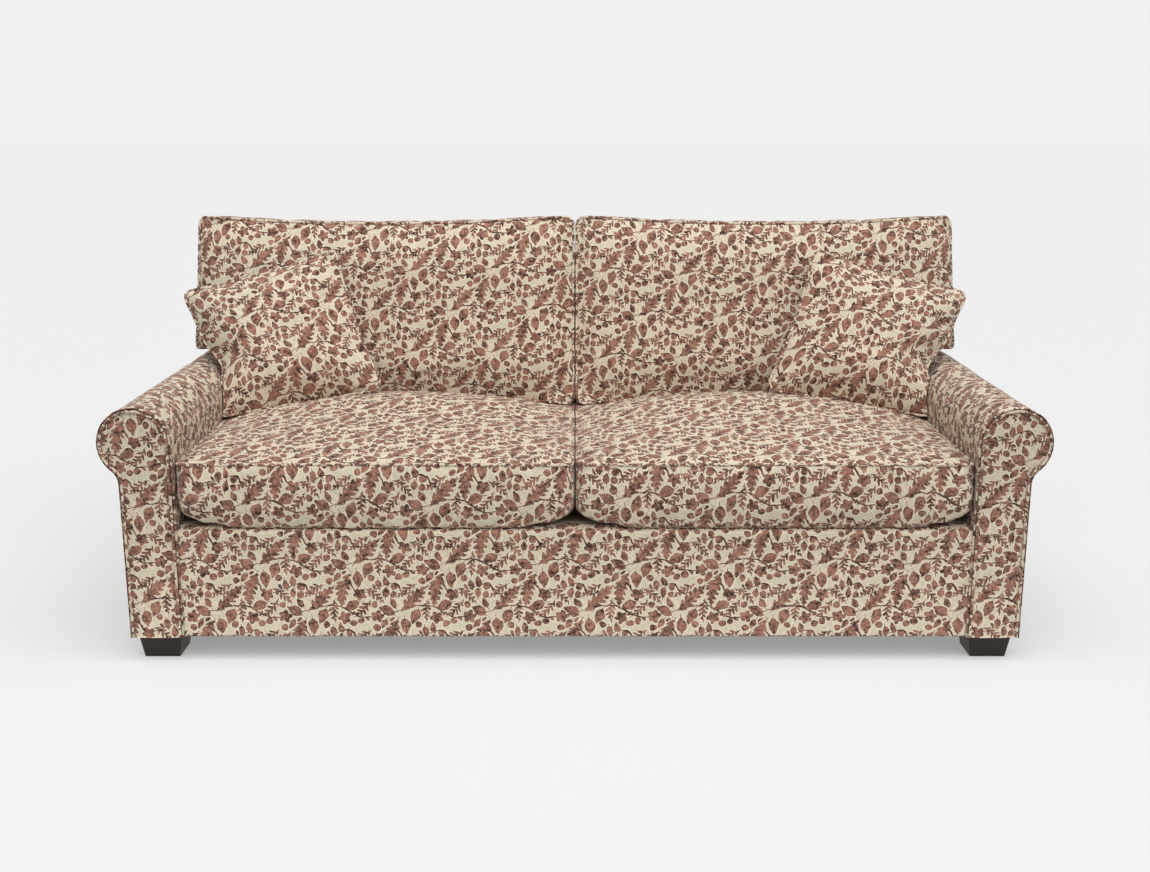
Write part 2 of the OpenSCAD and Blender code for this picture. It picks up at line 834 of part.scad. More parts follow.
module back_cushion_cover(side) {
    color(fabric_c) on_side(side) difference() {
        back_cushion_form();
        back_core_block(soft_gap);
        place_back_zip() zip_channel(back_zip_l);
    }
}

module back_fibre_core(side) {
    color(foam_c) on_side(side) back_core_block(0);
}

module back_zip(side) {
    on_side(side) place_back_zip() zip_strip(back_zip_l);
}

module back_zip_pull(side) {
    on_side(side) place_back_zip() zip_pull(back_zip_l);
}

// Scatter cushions

module scatter_inner(shrink) {
    pillow(
        scatter_w - 2 * pad_margin - shrink, scatter_h - 2 * pad_margin - shrink, scatter_t - 2 * cover_t - shrink,
        scatter_draw * 2 / 3, soft_pitch, [0.82, 0.4]);
}

module scatter_cover(side) {
    color(fabric_c) on_side(side) place_scatter() difference() {
        pillow(scatter_w, scatter_h, scatter_t, scatter_draw, scatter_pitch, [0.97, 0.9, 0.79, 0.64, 0.45, 0.22]);
        scatter_inner(0);
    }
}

module scatter_pad(side) {
    color(foam_c) on_side(side) place_scatter() scatter_inner(2 * soft_gap);
}

front_rail();
back_rail();
side_rail(-1);  // side_rail_left
side_rail(1);  // side_rail_right
seat_cross_rails();
corner_blocks();
arm_scroll_board(-1);  // arm_scroll_board_left
arm_scroll_board(1);  // arm_scroll_board_right
arm_rear_board(-1);  // arm_rear_board_left
arm_rear_board(1);  // arm_rear_board_right
arm_top_rail(-1);  // arm_top_rail_left
arm_top_rail(1);  // arm_top_rail_right
arm_slat(-1);  // arm_slat_left
arm_slat(1);  // arm_slat_right
back_post(-1);  // back_post_left
back_post(1);  // back_post_right
back_centre_post();
back_top_rail();
back_lower_rail();
seat_springs();
spring_clips();
back_webbing();
seat_deck();
front_apron_cover();
arm_cover(-1);  // arm_cover_left
arm_cover(1);  // arm_cover_right
arm_front_panel(-1);  // arm_front_panel_left
arm_front_panel(1);  // arm_front_panel_right
arm_piping(-1);  // arm_piping_left
arm_piping(1);  // arm_piping_right
inside_back_cover();
outside_back_cover();
dust_cover();
foot(-1, foot_front_y);  // foot_front_left
foot(1, foot_front_y);  // foot_front_right
foot(-1, foot_rear_y);  // foot_rear_left
foot(1, foot_rear_y);  // foot_rear_right
foot_bolts();
foot_tee_nuts();
seat_cushion_cover(-1);  // seat_cushion_cover_left
seat_cushion_cover(1);  // seat_cushion_cover_right
seat_foam_core(-1);  // seat_foam_core_left
seat_foam_core(1);  // seat_foam_core_right
seat_zip(-1);  // seat_zip_left
seat_zip(1);  // seat_zip_right
seat_zip_pull(-1);  // seat_zip_pull_left
seat_zip_pull(1);  // seat_zip_pull_right
back_cushion_cover(-1);  // back_cushion_cover_left
back_cushion_cover(1);  // back_cushion_cover_right
back_fibre_core(-1);  // back_fibre_core_left
back_fibre_core(1);  // back_fibre_core_right
back_zip(-1);  // back_zip_left
back_zip(1);  // back_zip_right
back_zip_pull(-1);  // back_zip_pull_left
back_zip_pull(1);  // back_zip_pull_right
scatter_cover(-1);  // scatter_cover_left
scatter_cover(1);  // scatter_cover_right
scatter_pad(-1);  // scatter_pad_left
scatter_pad(1);  // scatter_pad_right
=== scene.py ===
"""Three-seater sofa: covers, cushions, print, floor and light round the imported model. Metres."""

import math

import bpy
import numpy as np
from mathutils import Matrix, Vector


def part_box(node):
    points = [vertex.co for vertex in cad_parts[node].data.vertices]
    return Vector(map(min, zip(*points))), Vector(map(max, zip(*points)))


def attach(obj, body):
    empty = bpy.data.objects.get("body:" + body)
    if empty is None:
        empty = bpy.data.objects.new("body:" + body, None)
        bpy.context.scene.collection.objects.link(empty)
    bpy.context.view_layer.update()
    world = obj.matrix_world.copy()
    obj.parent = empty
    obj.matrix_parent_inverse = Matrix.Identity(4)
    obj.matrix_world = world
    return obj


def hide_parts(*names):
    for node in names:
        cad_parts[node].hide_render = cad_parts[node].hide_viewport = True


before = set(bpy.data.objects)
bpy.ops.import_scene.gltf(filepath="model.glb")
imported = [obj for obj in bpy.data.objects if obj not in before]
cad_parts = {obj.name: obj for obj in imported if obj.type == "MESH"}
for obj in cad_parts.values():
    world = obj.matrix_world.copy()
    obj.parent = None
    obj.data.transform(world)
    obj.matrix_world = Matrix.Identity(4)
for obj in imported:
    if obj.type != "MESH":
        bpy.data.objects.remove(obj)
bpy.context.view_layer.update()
scene = bpy.context.scene

# Camera

camera = bpy.data.objects.new("camera", bpy.data.cameras.new("camera"))
scene.collection.objects.link(camera)
camera.location = (0, -3.347, 1.216)
camera.rotation_euler = (math.radians(76.5), 0, 0)
camera.data.sensor_width = 36
camera.data.lens = 42.07
scene.camera = camera

# Sizes of the source, in metres

FRONT_Y = -0.490
ARM_IN, ARM_OUT = 0.890, 1.008
ROLL_X, ROLL_Z, ROLL_R = 0.970, 0.510, 0.080
COVE_R = 0.030
COVE_X = ARM_OUT + COVE_R
COVE_Z = ROLL_Z - math.sqrt((ROLL_R + COVE_R) ** 2 - (COVE_X - ROLL_X) ** 2)
BASE_Z, DECK_Z = 0.058, 0.315
PANEL_Y, BOARD_Y = -0.4838, -0.4718
COVER_T = 0.012
CREST_Y, CREST_Z, CREST_R = 0.450, 0.795, 0.040
EAR_LOW, EAR_X = 0.5915, 1.008
LEAN_DEGREES, REAR_LEAN_DEGREES = 12, 4.5
LEAN, REAR_LEAN = math.radians(LEAN_DEGREES), math.radians(REAR_LEAN_DEGREES)
# Height of the seam where the crest meets the outside back
CREST_SEAM = CREST_Z - CREST_R * math.sin(REAR_LEAN)
SEAT_FRONT, SEAT_REAR = -0.465, 0.300
SEAT_FLOOR, SEAT_BORDER, SEAT_CROWN, SEAT_TUCK = 0.3154, 0.145, 0.035, 0.038
SIDE_GAP = 0.0015
BACK_FLOOR, BACK_TOP, BACK_T, BACK_CROWN, BACK_ARC = 0.4628, 0.952, 0.196, 0.034, 0.0216
EAR_Z, CUSHION_EAR_X = 0.613, 1.011
SCATTER_SIZE = (0.394, 0.364, 0.116)
# Lower inner, lower outer, upper inner and upper outer corner of the right scatter cushion
SCATTER_CORNERS = (0.490, 0.044, 0.526), (0.910, -0.050, 0.470), (0.622, 0.163, 0.877), (1.022, 0.134, 0.766)
ZIP_DEPTH = 0.007

# Sizes of the cloth alone, in metres

# How far the seat cushions hang over the front border, and the foremost y of a seat cushion and of
# its piping
FRONT_SAG, SEAT_LIP, SEAT_CORD_LIP = 0.0065, -0.4893, -0.4862
# Below this height a back cushion keeps between the arms
ARM_CLEAR_Z = 0.600
# Radii of the piping: on the frame, on the seat and back cushions, and down the back's ears
PIPING_R, CUSHION_PIPING_R, EAR_PIPING_R = 0.0034, 0.0036, 0.0032
# Thickness of the cloth with its padding: arms, back and front border, and the back's corners
ARM_CLOTH, BACK_CLOTH, CORNER_CLOTH = 0.008, 0.006, 0.004
# Grid steps of the front border and the seat cushions, of the back and its cushions, of the arms
SEAT_PITCH, BACK_PITCH, ARM_PITCH = 0.0118, 0.0122, 0.0115
# A point this near a plane is on it
TINY = 1e-5


def inside_y(z, inset=0.0):
    """Y of the inside back at height z: a plane that leans back and is tangent to the crest."""
    r = CREST_R - inset
    return CREST_Y - r * math.cos(LEAN) + (z - CREST_Z - r * math.sin(LEAN)) * math.tan(LEAN)


def outside_y(z, inset=0.0):
    """Y of the outside back at height z: a plane that leans back less, on the crest's other side."""
    r = CREST_R - inset
    return CREST_Y + r * math.cos(REAR_LEAN) + (z - CREST_Z + r * math.sin(REAR_LEAN)) * math.tan(REAR_LEAN)


# Arithmetic on arrays


def smooth(t):
    """Smooth step from 0 to 1: three t squared minus two t cubed."""
    t = np.clip(t, 0, 1)
    return t * t * (3 - 2 * t)


def steps(low, high, pitch):
    """Even steps from low to high, about pitch apart."""
    return np.linspace(low, high, max(2, int(round((high - low) / pitch)) + 1))


def ripple(points, wave, seed):
    """Soft unevenness, about -1 to 1: the scaled sum of nine sine waves in seeded directions."""
    draw = np.random.default_rng(seed)
    total = np.zeros(len(points))
    for _ in range(9):
        way = draw.normal(size=3)
        way *= 2 * math.pi / (np.linalg.norm(way) * wave * draw.uniform(0.6, 1.5))
        total += np.sin(points @ way + draw.uniform(0, 6.28))
    return total / 4


def film(inside, rounds=1500):
    """Height of a soap film blown over a grid's inside, at most 1: each point is its four
    neighbours' mean plus a little, and the rim stays at 0."""
    h = np.zeros(inside.shape)
    for _ in range(rounds):
        around = np.pad(h, 1)
        h = (around[2:, 1:-1] + around[:-2, 1:-1] + around[1:-1, 2:] + around[1:-1, :-2]) / 4
        h = (h + 0.01) * inside
    return h / h.max()


def disc(a, b):
    """Maps a unit square's quadrant onto a quarter disc, rim to rim: both times the larger over
    their root sum of squares."""
    both = (a > 0) & (b > 0)
    f = np.where(both, np.maximum(a, b) / np.maximum(np.hypot(a, b), 1e-9), 1)
    return a * f, b * f


def along(path):
    """Length along a path up to each of its points."""
    return np.concatenate([[0], np.cumsum(np.linalg.norm(np.diff(path, axis=0), axis=1))])


def resample(path, pitch):
    """The path's points, even distances of about pitch apart."""
    s = along(path)
    t = steps(0, s[-1], pitch)
    return np.stack([np.interp(t, s, path[:, k]) for k in range(path.shape[1])], 1)


def swap(grid):
    """The grid with its two directions exchanged, which turns its faces over."""
    return grid.transpose(1, 0, 2)


def rim_loop(grid):
    """The grid's outline as one closed row of points."""
    return np.concatenate([grid[:, 0], grid[-1, 1:], grid[::-1, -1][1:], grid[0, ::-1][1:]])


def rim_band(front, rear, width):
    """The band between the outlines of two grids, with UVs by its length and its width."""
    band = np.stack([rim_loop(front), rim_loop(rear)], 0)
    length = along(band[0])
    uv = np.stack([np.stack([length, length * 0], -1), np.stack([length, length * 0 + width], -1)], 0)
    return band, uv


def swept(profile, xs):
    """Points of a profile in y and z that is carried along x."""
    p = np.zeros((len(xs), len(profile), 3))
    p[..., 0] = xs[:, None]
    p[..., 1], p[..., 2] = profile[:, 0], profile[:, 1]
    return p


def flat_panel(a, b, order, fixed, uv, keep=None):
    """A flat panel: steps a and b along the two axes in order, a fixed place on the third, and UVs
    that are worked out from its points."""
    g = np.zeros((len(a), len(b), 3))
    g[..., order[0]] = a[:, None]
    g[..., order[1]] = b[None]
    g[..., 3 - order[0] - order[1]] = fixed
    return g, uv(g), keep


# Meshes


def weld(panels):
    """Joins panels into one surface. A panel is a grid of points, its UVs in metres, and the quads
    that it keeps. Points that agree to 5 micrometres become one vertex. Returns points, faces and
    the UVs of the corners."""
    points, uvs, faces, base = [], [], [], 0
    for p, uv, keep in panels:
        n, m = p.shape[:2]
        i = np.arange(n * m).reshape(n, m) + base
        q = np.stack([i[:-1, :-1], i[1:, :-1], i[1:, 1:], i[:-1, 1:]], -1)
        faces.append(q.reshape(-1, 4) if keep is None else q[keep])
        points.append(p.reshape(-1, 3))
        uvs.append(uv.reshape(-1, 2))
        base += n * m
    points, uvs, faces = (np.concatenate(x) for x in (points, uvs, faces))
    place = np.round(points * 2e5).astype(np.int64)
    _, first, same = np.unique(place, axis=0, return_index=True, return_inverse=True)
    corners = uvs[faces]
    faces = same.reshape(-1)[faces]
    used, faces = np.unique(faces, return_inverse=True)
    return points[first][used], faces.reshape(-1, 4), corners


def turned(side, points, faces, corners):
    """The surface for one side of the sofa: mirrored for the left, with its faces still outward."""
    if side > 0:
        return points, faces, corners
    return points * (-1, 1, 1), faces[:, ::-1], corners[:, ::-1]


def piece(name, points, faces, corners, material, levels=1):
    """A smooth mesh object at the origin, with UVs in metres and a subdivision."""
    mesh = bpy.data.meshes.new(name)
    mesh.from_pydata(points.tolist(), [], faces.tolist())
    layer = mesh.uv_layers.new(name="cloth")
    layer.data.foreach_set("uv", np.asarray(corners, np.float32).ravel())
    mesh.polygons.foreach_set("use_smooth", np.ones(len(faces), bool))
    mesh.materials.append(material)
    mesh.update()
    obj = bpy.data.objects.new(name, mesh)
    scene.collection.objects.link(obj)
    if levels:
        sub = obj.modifiers.new("subdivision", "SUBSURF")
        sub.levels = sub.render_levels = levels
    return obj


def crease(obj, chosen):
    """Keeps the edges between chosen vertices sharp under subdivision, as a sewn seam is."""
    mesh = obj.data
    ends = np.zeros(len(mesh.edges) * 2, np.int32)
    mesh.edges.foreach_get("vertices", ends)
    sharp = np.asarray(chosen)[ends.reshape(-1, 2)].all(1).astype(np.float32)
    mesh.attributes.new("crease_edge", "FLOAT", "EDGE").data.foreach_set("value", sharp)


def thicken(obj, depth):
    """Gives a sheet its thickness, inwards from its face."""
    shell = obj.modifiers.new("thickness", "SOLIDIFY")
    shell.thickness = depth
    shell.offset = -1


def tube(name, path, radius, material, closed=True, pitch=0.006, sides=10):
    """A round cord along a path: rings of points, each square to the path, with the cloth cut on
    the bias. Ends that aren't joined are closed by a small cone."""
    if closed:
        path = resample(np.concatenate([path, path[:1]]), pitch)[:-1]
    else:
        path = resample(path, pitch)
    ahead, behind = np.roll(path, -1, 0), np.roll(path, 1, 0)
    if not closed:
        ahead[-1], behind[0] = path[-1], path[0]
    way = ahead - behind
    way /= np.linalg.norm(way, axis=1)[:, None]
    flat = np.linalg.svd(path - path.mean(0), full_matrices=False)[2][2]
    out = np.cross(way, flat)
    out /= np.linalg.norm(out, axis=1)[:, None]
    up = np.cross(out, way)
    a = np.linspace(0, 2 * math.pi, sides + 1)

    def ring(k, r):
        return path[k, None] + r * (out[k, None] * np.cos(a)[:, None] + up[k, None] * np.sin(a)[:, None])

    rings = [ring(k, radius) for k in range(len(path))]
    if closed:
        rings.append(rings[0])
    else:
        tip = way * radius * 0.5
        rings = [ring(0, TINY) - tip[0]] + rings + [ring(-1, TINY) + tip[-1]]
    p = np.stack(rings)
    s = np.arange(len(p))[:, None] * pitch
    bias = 0.7071
    uv = np.stack([s + a * radius, s - a * radius], -1) * bias
    points, faces, corners = weld([(p, uv, None)])
    return piece(name, points, faces, corners, material, 0)


def moved(obj, points):
    """Writes the points into the object's mesh."""
    obj.data.vertices.foreach_set("co", np.asarray(points, np.float32).ravel())
    obj.data.update()


def blow(obj, pins, growth, pressure, cap, frames=20):
    """Swells a cover as stuffed cloth. Cloth with pressure and no gravity runs from the given shape,
    with the pins held, and then each point's way is kept below cap: cap times tanh of way over cap."""
    count = len(obj.data.vertices)
    start = np.zeros(count * 3, np.float32)
    obj.data.vertices.foreach_get("co", start)
    start = start.reshape(-1, 3)
    group = obj.vertex_groups.new(name="pins")
    level = np.round(np.clip(pins, 0, 1), 1)
    for value in np.unique(level[level > 0]):
        group.add(np.flatnonzero(level == value).tolist(), float(value), "REPLACE")
    sub = obj.modifiers.get("subdivision")
    sub.show_viewport = False
    cloth = obj.modifiers.new("cloth", "CLOTH")
    s = cloth.settings
    s.quality = 5
    s.mass = 0.3
    s.tension_stiffness = s.compression_stiffness = 12
    s.shear_stiffness = 5
    s.bending_stiffness = 0.25
    s.use_pressure = True
    s.uniform_pressure_force = pressure
    s.shrink_min = -growth
    s.vertex_group_mass = "pins"
    s.effector_weights.gravity = 0
    cloth.collision_settings.use_collision = False
    cloth.collision_settings.use_self_collision = False
    for f in range(1, frames + 1):
        scene.frame_set(f)
    graph = bpy.context.evaluated_depsgraph_get()
    made = obj.evaluated_get(graph).to_mesh()
    end = np.zeros(count * 3, np.float32)
    made.vertices.foreach_get("co", end)
    end = end.reshape(-1, 3)
    obj.evaluated_get(graph).to_mesh_clear()
    obj.modifiers.remove(cloth)
    obj.vertex_groups.remove(group)
    scene.frame_set(1)
    sub.show_viewport = True
    way = (end - start).astype(float)
    size = np.linalg.norm(way, axis=1)
    size = np.where(np.isfinite(size), size, 0)
    way = np.nan_to_num(way)
    return start + way * (cap * np.tanh(size / cap) / np.maximum(size, 1e-9))[:, None]


# Node trees


class Value:
    """A socket in a node tree, so that a formula can be written as arithmetic."""

    def __init__(self, tree, socket):
        self.tree, self.socket = tree, socket

    def node(self, kind, **settings):
        made = self.tree.nodes.new(kind)
        for name, value in settings.items():
            setattr(made, name, value)
        return made

    def put(self, value, socket):
        if isinstance(value, Value):
            self.tree.links.new(value.socket, socket)
        else:
            socket.default_value = value

    def math(self, operation, *others):
        made = self.node("ShaderNodeMath", operation=operation)
        for value, socket in zip((self, *others), made.inputs):
            self.put(value, socket)
        return Value(self.tree, made.outputs[0])

    def __add__(self, other):
        return self.math("ADD", other)

    def __sub__(self, other):
        return self.math("SUBTRACT", other)

    def __mul__(self, other):
        return self.math("MULTIPLY", other)

    def __truediv__(self, other):
        return self.math("DIVIDE", other)

    def __pow__(self, other):
        return self.math("POWER", other)

    def rest(self, whole=1.0):
        """What is left of whole: whole minus self."""
        return self.math("MULTIPLY", -1.0).math("ADD", whole)

    def abs(self):
        return self.math("ABSOLUTE")

    def sin(self):
        return self.math("SINE")

    def cos(self):
        return self.math("COSINE")

    def sqrt(self):
        """Square root, of 0 where self is below 0."""
        return self.math("MAXIMUM", 0.0).math("SQRT")

    def part(self):
        """What is left past the next lower whole number."""
        return self.math("FRACT")

    def least(self, other):
        return self.math("MINIMUM", other)

    def most(self, other):
        return self.math("MAXIMUM", other)

    def over(self, other):
        """1 where self is greater than other, or else 0."""
        return self.math("GREATER_THAN", other)

    def ramp(self, low, high, to_low=0.0, to_high=1.0):
        """Smooth step between two values of self, kept at its ends beyond them."""
        made = self.node("ShaderNodeMapRange", interpolation_type="SMOOTHSTEP")
        for value, socket in zip((self, low, high, to_low, to_high), made.inputs):
            self.put(value, socket)
        return Value(self.tree, made.outputs[0])


def new_group(name, inputs, outputs):
    """An empty node group with float (f) and vector (v) sockets. Returns the tree, its inputs as
    values, and a function that joins a value to an output."""
    tree = bpy.data.node_groups.new(name, "ShaderNodeTree")
    kinds = {"f": "NodeSocketFloat", "v": "NodeSocketVector"}
    for label, kind in inputs:
        tree.interface.new_socket(label, in_out="INPUT", socket_type=kinds[kind])
    for label, kind in outputs:
        tree.interface.new_socket(label, in_out="OUTPUT", socket_type=kinds[kind])
    source, sink = tree.nodes.new("NodeGroupInput"), tree.nodes.new("NodeGroupOutput")
    values = {label: Value(tree, source.outputs[label]) for label, _ in inputs}

    def give(label, value):
        tree.links.new(value.socket, sink.inputs[label])

    return tree, values, give


# The print's repeat: the two steps of a half-drop lattice in millimetres, and in it the place, turn
# in degrees and bend (thousandths) of each motif. PRINT_SCALE of these millimetres go to a metre of
# the cloth.
REPEAT_X, DROP_X, DROP_Y = 188.0, 94.0, 100.0
PRINT_SCALE = 900
MOTIFS = {
    "frond": ((94, 50, 46, 0), (137.5, 70.5, 255, 5.2)),
    "sprig": ((77.5, 68.5, 215, 4), (117.5, 24.5, 268, 3.7), (178.5, 26.5, 228, -4.9), (109.5, 157.5, 320, -5)),
    "leaf": ((169.5, 89.5, 275, -2.6), (94.5, 10.5, 248, 3), (153.5, 34.5, 208, 5), (37.5, 24.5, 150, 4.2)),
    "small": ((36.5, 87.5, 104, -5.9), (36.5, 63.5, 85, -2.6), (125.5, 94.5, 235, 2.2),
              (116.5, 177.5, 277, -0.6), (49.5, 41.5, 117, -5.3)),
    "rosette": ((77.5, 158.5, 227, 0), (139.5, 8.5, 152, 0), (18.5, 11.5, 113, 0)),
    "pair": ((146.5, 166.5, 174, 0), (71.5, 98.5, 288, 0)),
    "berry": ((102.5, 193.5, 0, 0), (16.5, 187.5, 0, 0), (13.5, 36.5, 0, 0)),
    "bud": ((156.5, 17.5, 54, 0), (47.5, 4.5, 221, 0), (185.5, 6.5, 130, 0), (11.5, 75.5, 118, 0)),
}


def frond(x, y, bend, length, reach, pitch, blade, full):
    """Depth inside a branch: bent stem, rounded leaflets on both sides as half ellipses that repeat
    along it, longest in the middle, over a narrower blade."""
    bent = y - x * x * bend
    t = (x / length + 0.5).most(0.0).least(1.0)
    far = (t * math.pi).sin() ** 0.6 * reach + 0.01
    side = bent.abs()
    way = (x - side * 0.7 + bent.over(0.0) * (pitch / 2)) / pitch
    off = (way.part() - 0.5).abs() * pitch
    lobe = ((side / far) ** 2.0).rest().sqrt() * (pitch * full) - off
    lobe = lobe.least(far - side).most(far * blade - side)
    stem = side.rest().least(x.abs().rest(length * 0.6))
    return lobe.least(x.abs().rest(length / 2)).most(stem), side


def leaf(x, y, bend, length, width):
    """Depth inside a leaf, and the distance from its midrib: a bent line, about it the width times
    the sine of the share of the length, less a saw of teeth, and a short stalk."""
    bent = y - x * x * bend
    t = (x / length + 0.5).most(0.0).least(1.0)
    side = bent.abs()
    teeth = ((x - side * 0.8) / 4.4).part() * 1.1
    blade = (t ** 0.75 * math.pi).sin() * width - teeth - side
    stalk = side.rest(0.9).least((x + length * 0.58).abs().rest(length * 0.16))
    return blade.most(stalk), side


def star(x, y, count, middle, long, wide):
    """Depth inside ovals set round a point: the plane is folded into sectors, one oval in each."""
    turn = y.math("ARCTAN2", x) / (2 * math.pi) * float(count)
    angle = ((turn + 20.0).part() - 0.5) * (2 * math.pi / count)
    r = (x * x + y * y).sqrt()
    px, py = r * angle.cos() - middle, r * angle.sin()
    return (((px / long) ** 2.0 + (py / wide) ** 2.0).sqrt().rest()) * wide, py.abs()


def motif(kind, x, y, bend):
    """Depth inside one motif in millimetres, and the distance from its dark line, if it has one."""
    if kind == "frond":
        return frond(x, y, bend, length=72, reach=15, pitch=12.5, blade=0.46, full=0.5)
    if kind == "sprig":
        return frond(x, y, bend, length=46, reach=10.5, pitch=9.6, blade=0.12, full=0.42)
    if kind == "leaf":
        return leaf(x, y, bend, length=38, width=11.5)
    if kind == "small":
        return leaf(x, y, bend, length=25, width=7.5)
    if kind == "rosette":
        return star(x, y, count=5, middle=7.4, long=7.0, wide=5.2)
    if kind == "pair":
        return star(x, y, count=2, middle=8.2, long=7.8, wide=7.2)
    if kind == "berry":
        return (x * x + y * y).sqrt().rest(7.4), None
    long, wide = 6.5, 3.4
    return (((x / long) ** 2.0 + (y / wide) ** 2.0).sqrt().rest()) * wide, None


def print_group():
    """All-over print of branches, leaves, rosettes and berries in one ink on plain cloth. Gives how
    much ink there is, how dark it is, the pale edge round it, and the relief of the cloth's threads."""
    tree, given, give = new_group("botanical_print", [("Vector", "v")],
                                  [("Ink", "f"), ("Dark", "f"), ("Edge", "f"), ("Ground", "f")])
    raw = given["Vector"]

    def vector(operation, start, *values):
        """Vector arithmetic on a value, with plain vectors or values for the other inputs."""
        made = raw.node("ShaderNodeVectorMath", operation=operation)
        for value, socket in zip((start, *values), made.inputs):
            raw.put(value, socket)
        return Value(tree, made.outputs[0])

    scale = raw.node("ShaderNodeVectorMath", operation="SCALE")
    raw.put(raw, scale.inputs[0])
    scale.inputs["Scale"].default_value = PRINT_SCALE
    mm = Value(tree, scale.outputs[0])

    def noise(size, detail, at=mm, sharp=0.5):
        """Noise in the plane, of a size in millimetres."""
        made = raw.node("ShaderNodeTexNoise", noise_dimensions="2D")
        raw.put(at, made.inputs["Vector"])
        made.inputs["Scale"].default_value = 1 / size
        made.inputs["Detail"].default_value = detail
        made.inputs["Roughness"].default_value = sharp
        return made

    # A hand's unevenness, so that no motif is a stamped copy
    wander = Value(tree, noise(16, 1.0).outputs["Color"])
    hand = vector("MULTIPLY_ADD", vector("SUBTRACT", wander, (0.5, 0.5, 0.5)), (6, 6, 0), mm)
    split = raw.node("ShaderNodeSeparateXYZ")
    raw.put(hand, split.inputs[0])
    right, up = Value(tree, split.outputs[0]), Value(tree, split.outputs[1])
    # Places as shares of the lattice's two steps
    v = up / DROP_Y
    u = (right - v * DROP_X) / REPEAT_X

    def nearest(share):
        """The way to the nearest repeat, from minus a half to a half."""
        return share.math("WRAP", 0.5, -0.5)

    depth = line = None
    for kind, places in MOTIFS.items():
        for px, py, turn, bend in places:
            at_v = py / DROP_Y
            at_u = (px - at_v * DROP_X) / REPEAT_X
            c, s = math.cos(math.radians(turn)), math.sin(math.radians(turn))
            du, dv = nearest(u - at_u), nearest(v - at_v)
            x = du.math("MULTIPLY_ADD", REPEAT_X * c, dv * (DROP_X * c + DROP_Y * s))
            y = du.math("MULTIPLY_ADD", -REPEAT_X * s, dv * (DROP_Y * c - DROP_X * s))
            inside, rib = motif(kind, x, y, bend / 1000)
            depth = inside if depth is None else depth.most(inside)
            if rib is not None:
                vein = rib.rest(1.1).least(inside)
                line = vein if line is None else line.most(vein)

    # Thin winding stems that join the motifs
    for at_v, sway, waves in ((0.22, 0.13, 1.0), (0.71, 0.11, 2.0)):
        bow = nearest((u * (waves * 2 * math.pi) + at_v * 9).sin() * sway + v - at_v).abs()
        stem = (bow * DROP_Y).rest(1.7)
        depth, line = depth.most(stem), line.most(stem)

    blot = Value(tree, noise(6.5, 3.0, hand, 0.62).outputs[0])
    tone = Value(tree, noise(21, 1.0).outputs[0])
    rim = depth.ramp(0.3, 2.6, 1.0, 0.0)
    dark = rim * 0.5 + line.ramp(0.0, 0.8) * 0.25 + (tone - 0.5) * 1.7 + (blot - 0.5) * 2.3 + 0.34
    broad = Value(tree, noise(60, 2.0).outputs[0])
    # Threads: noise drawn out one way and the other
    weft, warp = (Value(tree, noise(1.1, 1.0, vector("MULTIPLY", mm, drawn)).outputs[0])
                  for drawn in ((0.08, 1.0, 1.0), (1.0, 0.08, 1.0)))
    grain = Value(tree, noise(3.4, 1.0, sharp=0.7).outputs[0])
    ground = (weft + warp - 1.0) * 1.1 + (broad + grain * 2.2 - 1.6) * 0.4 + 0.5
    give("Ink", depth.ramp(-0.15, 0.65) * (blot * 0.3 + ground * 0.16 + 0.74).least(1.0))
    give("Dark", dark.most(0.0).least(1.0))
    give("Edge", depth.ramp(-1.9, -0.7))
    give("Ground", ground)
    return tree


def colour(red, green, blue):
    """A colour as it looks on screen, from 0 to 255, as the linear values that nodes take."""
    c = np.array([red, green, blue]) / 255
    return (*np.where(c <= 0.04045, c / 12.92, ((c + 0.055) / 1.055) ** 2.4).tolist(), 1.0)


def shader(name, rough, specular=0.3, metal=0.0, sheen=0.0):
    """A new material. Returns it, its tree, its shader node and its first coordinates node."""
    made = bpy.data.materials.new(name)
    made.use_nodes = True
    tree = made.node_tree
    node = tree.nodes["Principled BSDF"]
    node.inputs["Roughness"].default_value = rough
    node.inputs["Specular IOR Level"].default_value = specular
    node.inputs["Metallic"].default_value = metal
    node.inputs["Sheen Weight"].default_value = sheen
    if sheen:
        node.inputs["Sheen Roughness"].default_value = 0.5
    return made, tree, node, tree.nodes.new("ShaderNodeTexCoord")


def mix(tree, share, a, b):
    """A colour mix: a where share is 0 and b where it is 1."""
    made = tree.nodes.new("ShaderNodeMix")
    made.data_type = "RGBA"
    for value, socket in ((share, made.inputs[0]), (a, made.inputs[6]), (b, made.inputs[7])):
        if isinstance(value, bpy.types.NodeSocket):
            tree.links.new(value, socket)
        else:
            socket.default_value = value
    return made.outputs[2]


def mapped(tree, socket, **values):
    """Coordinates shifted, turned or stretched by a Mapping node, whose inputs are set by name."""
    made = tree.nodes.new("ShaderNodeMapping")
    tree.links.new(socket, made.inputs["Vector"])
    for label, value in values.items():
        made.inputs[label].default_value = value
    return made.outputs[0]


def noise_on(tree, at, scale, detail, distortion=0.0):
    """Noise over the coordinates of a socket."""
    made = tree.nodes.new("ShaderNodeTexNoise")
    tree.links.new(at, made.inputs["Vector"])
    level = Value(tree, made.outputs[0])
    for label, value in (("Scale", scale), ("Detail", detail), ("Distortion", distortion)):
        level.put(value, made.inputs[label])
    return level


def bump(tree, height, strength, distance, node):
    """Relief on a shader from a height socket."""
    made = tree.nodes.new("ShaderNodeBump")
    made.inputs["Strength"].default_value = strength
    made.inputs["Distance"].default_value = distance
    tree.links.new(height, made.inputs["Height"])
    tree.links.new(made.outputs[0], node.inputs["Normal"])


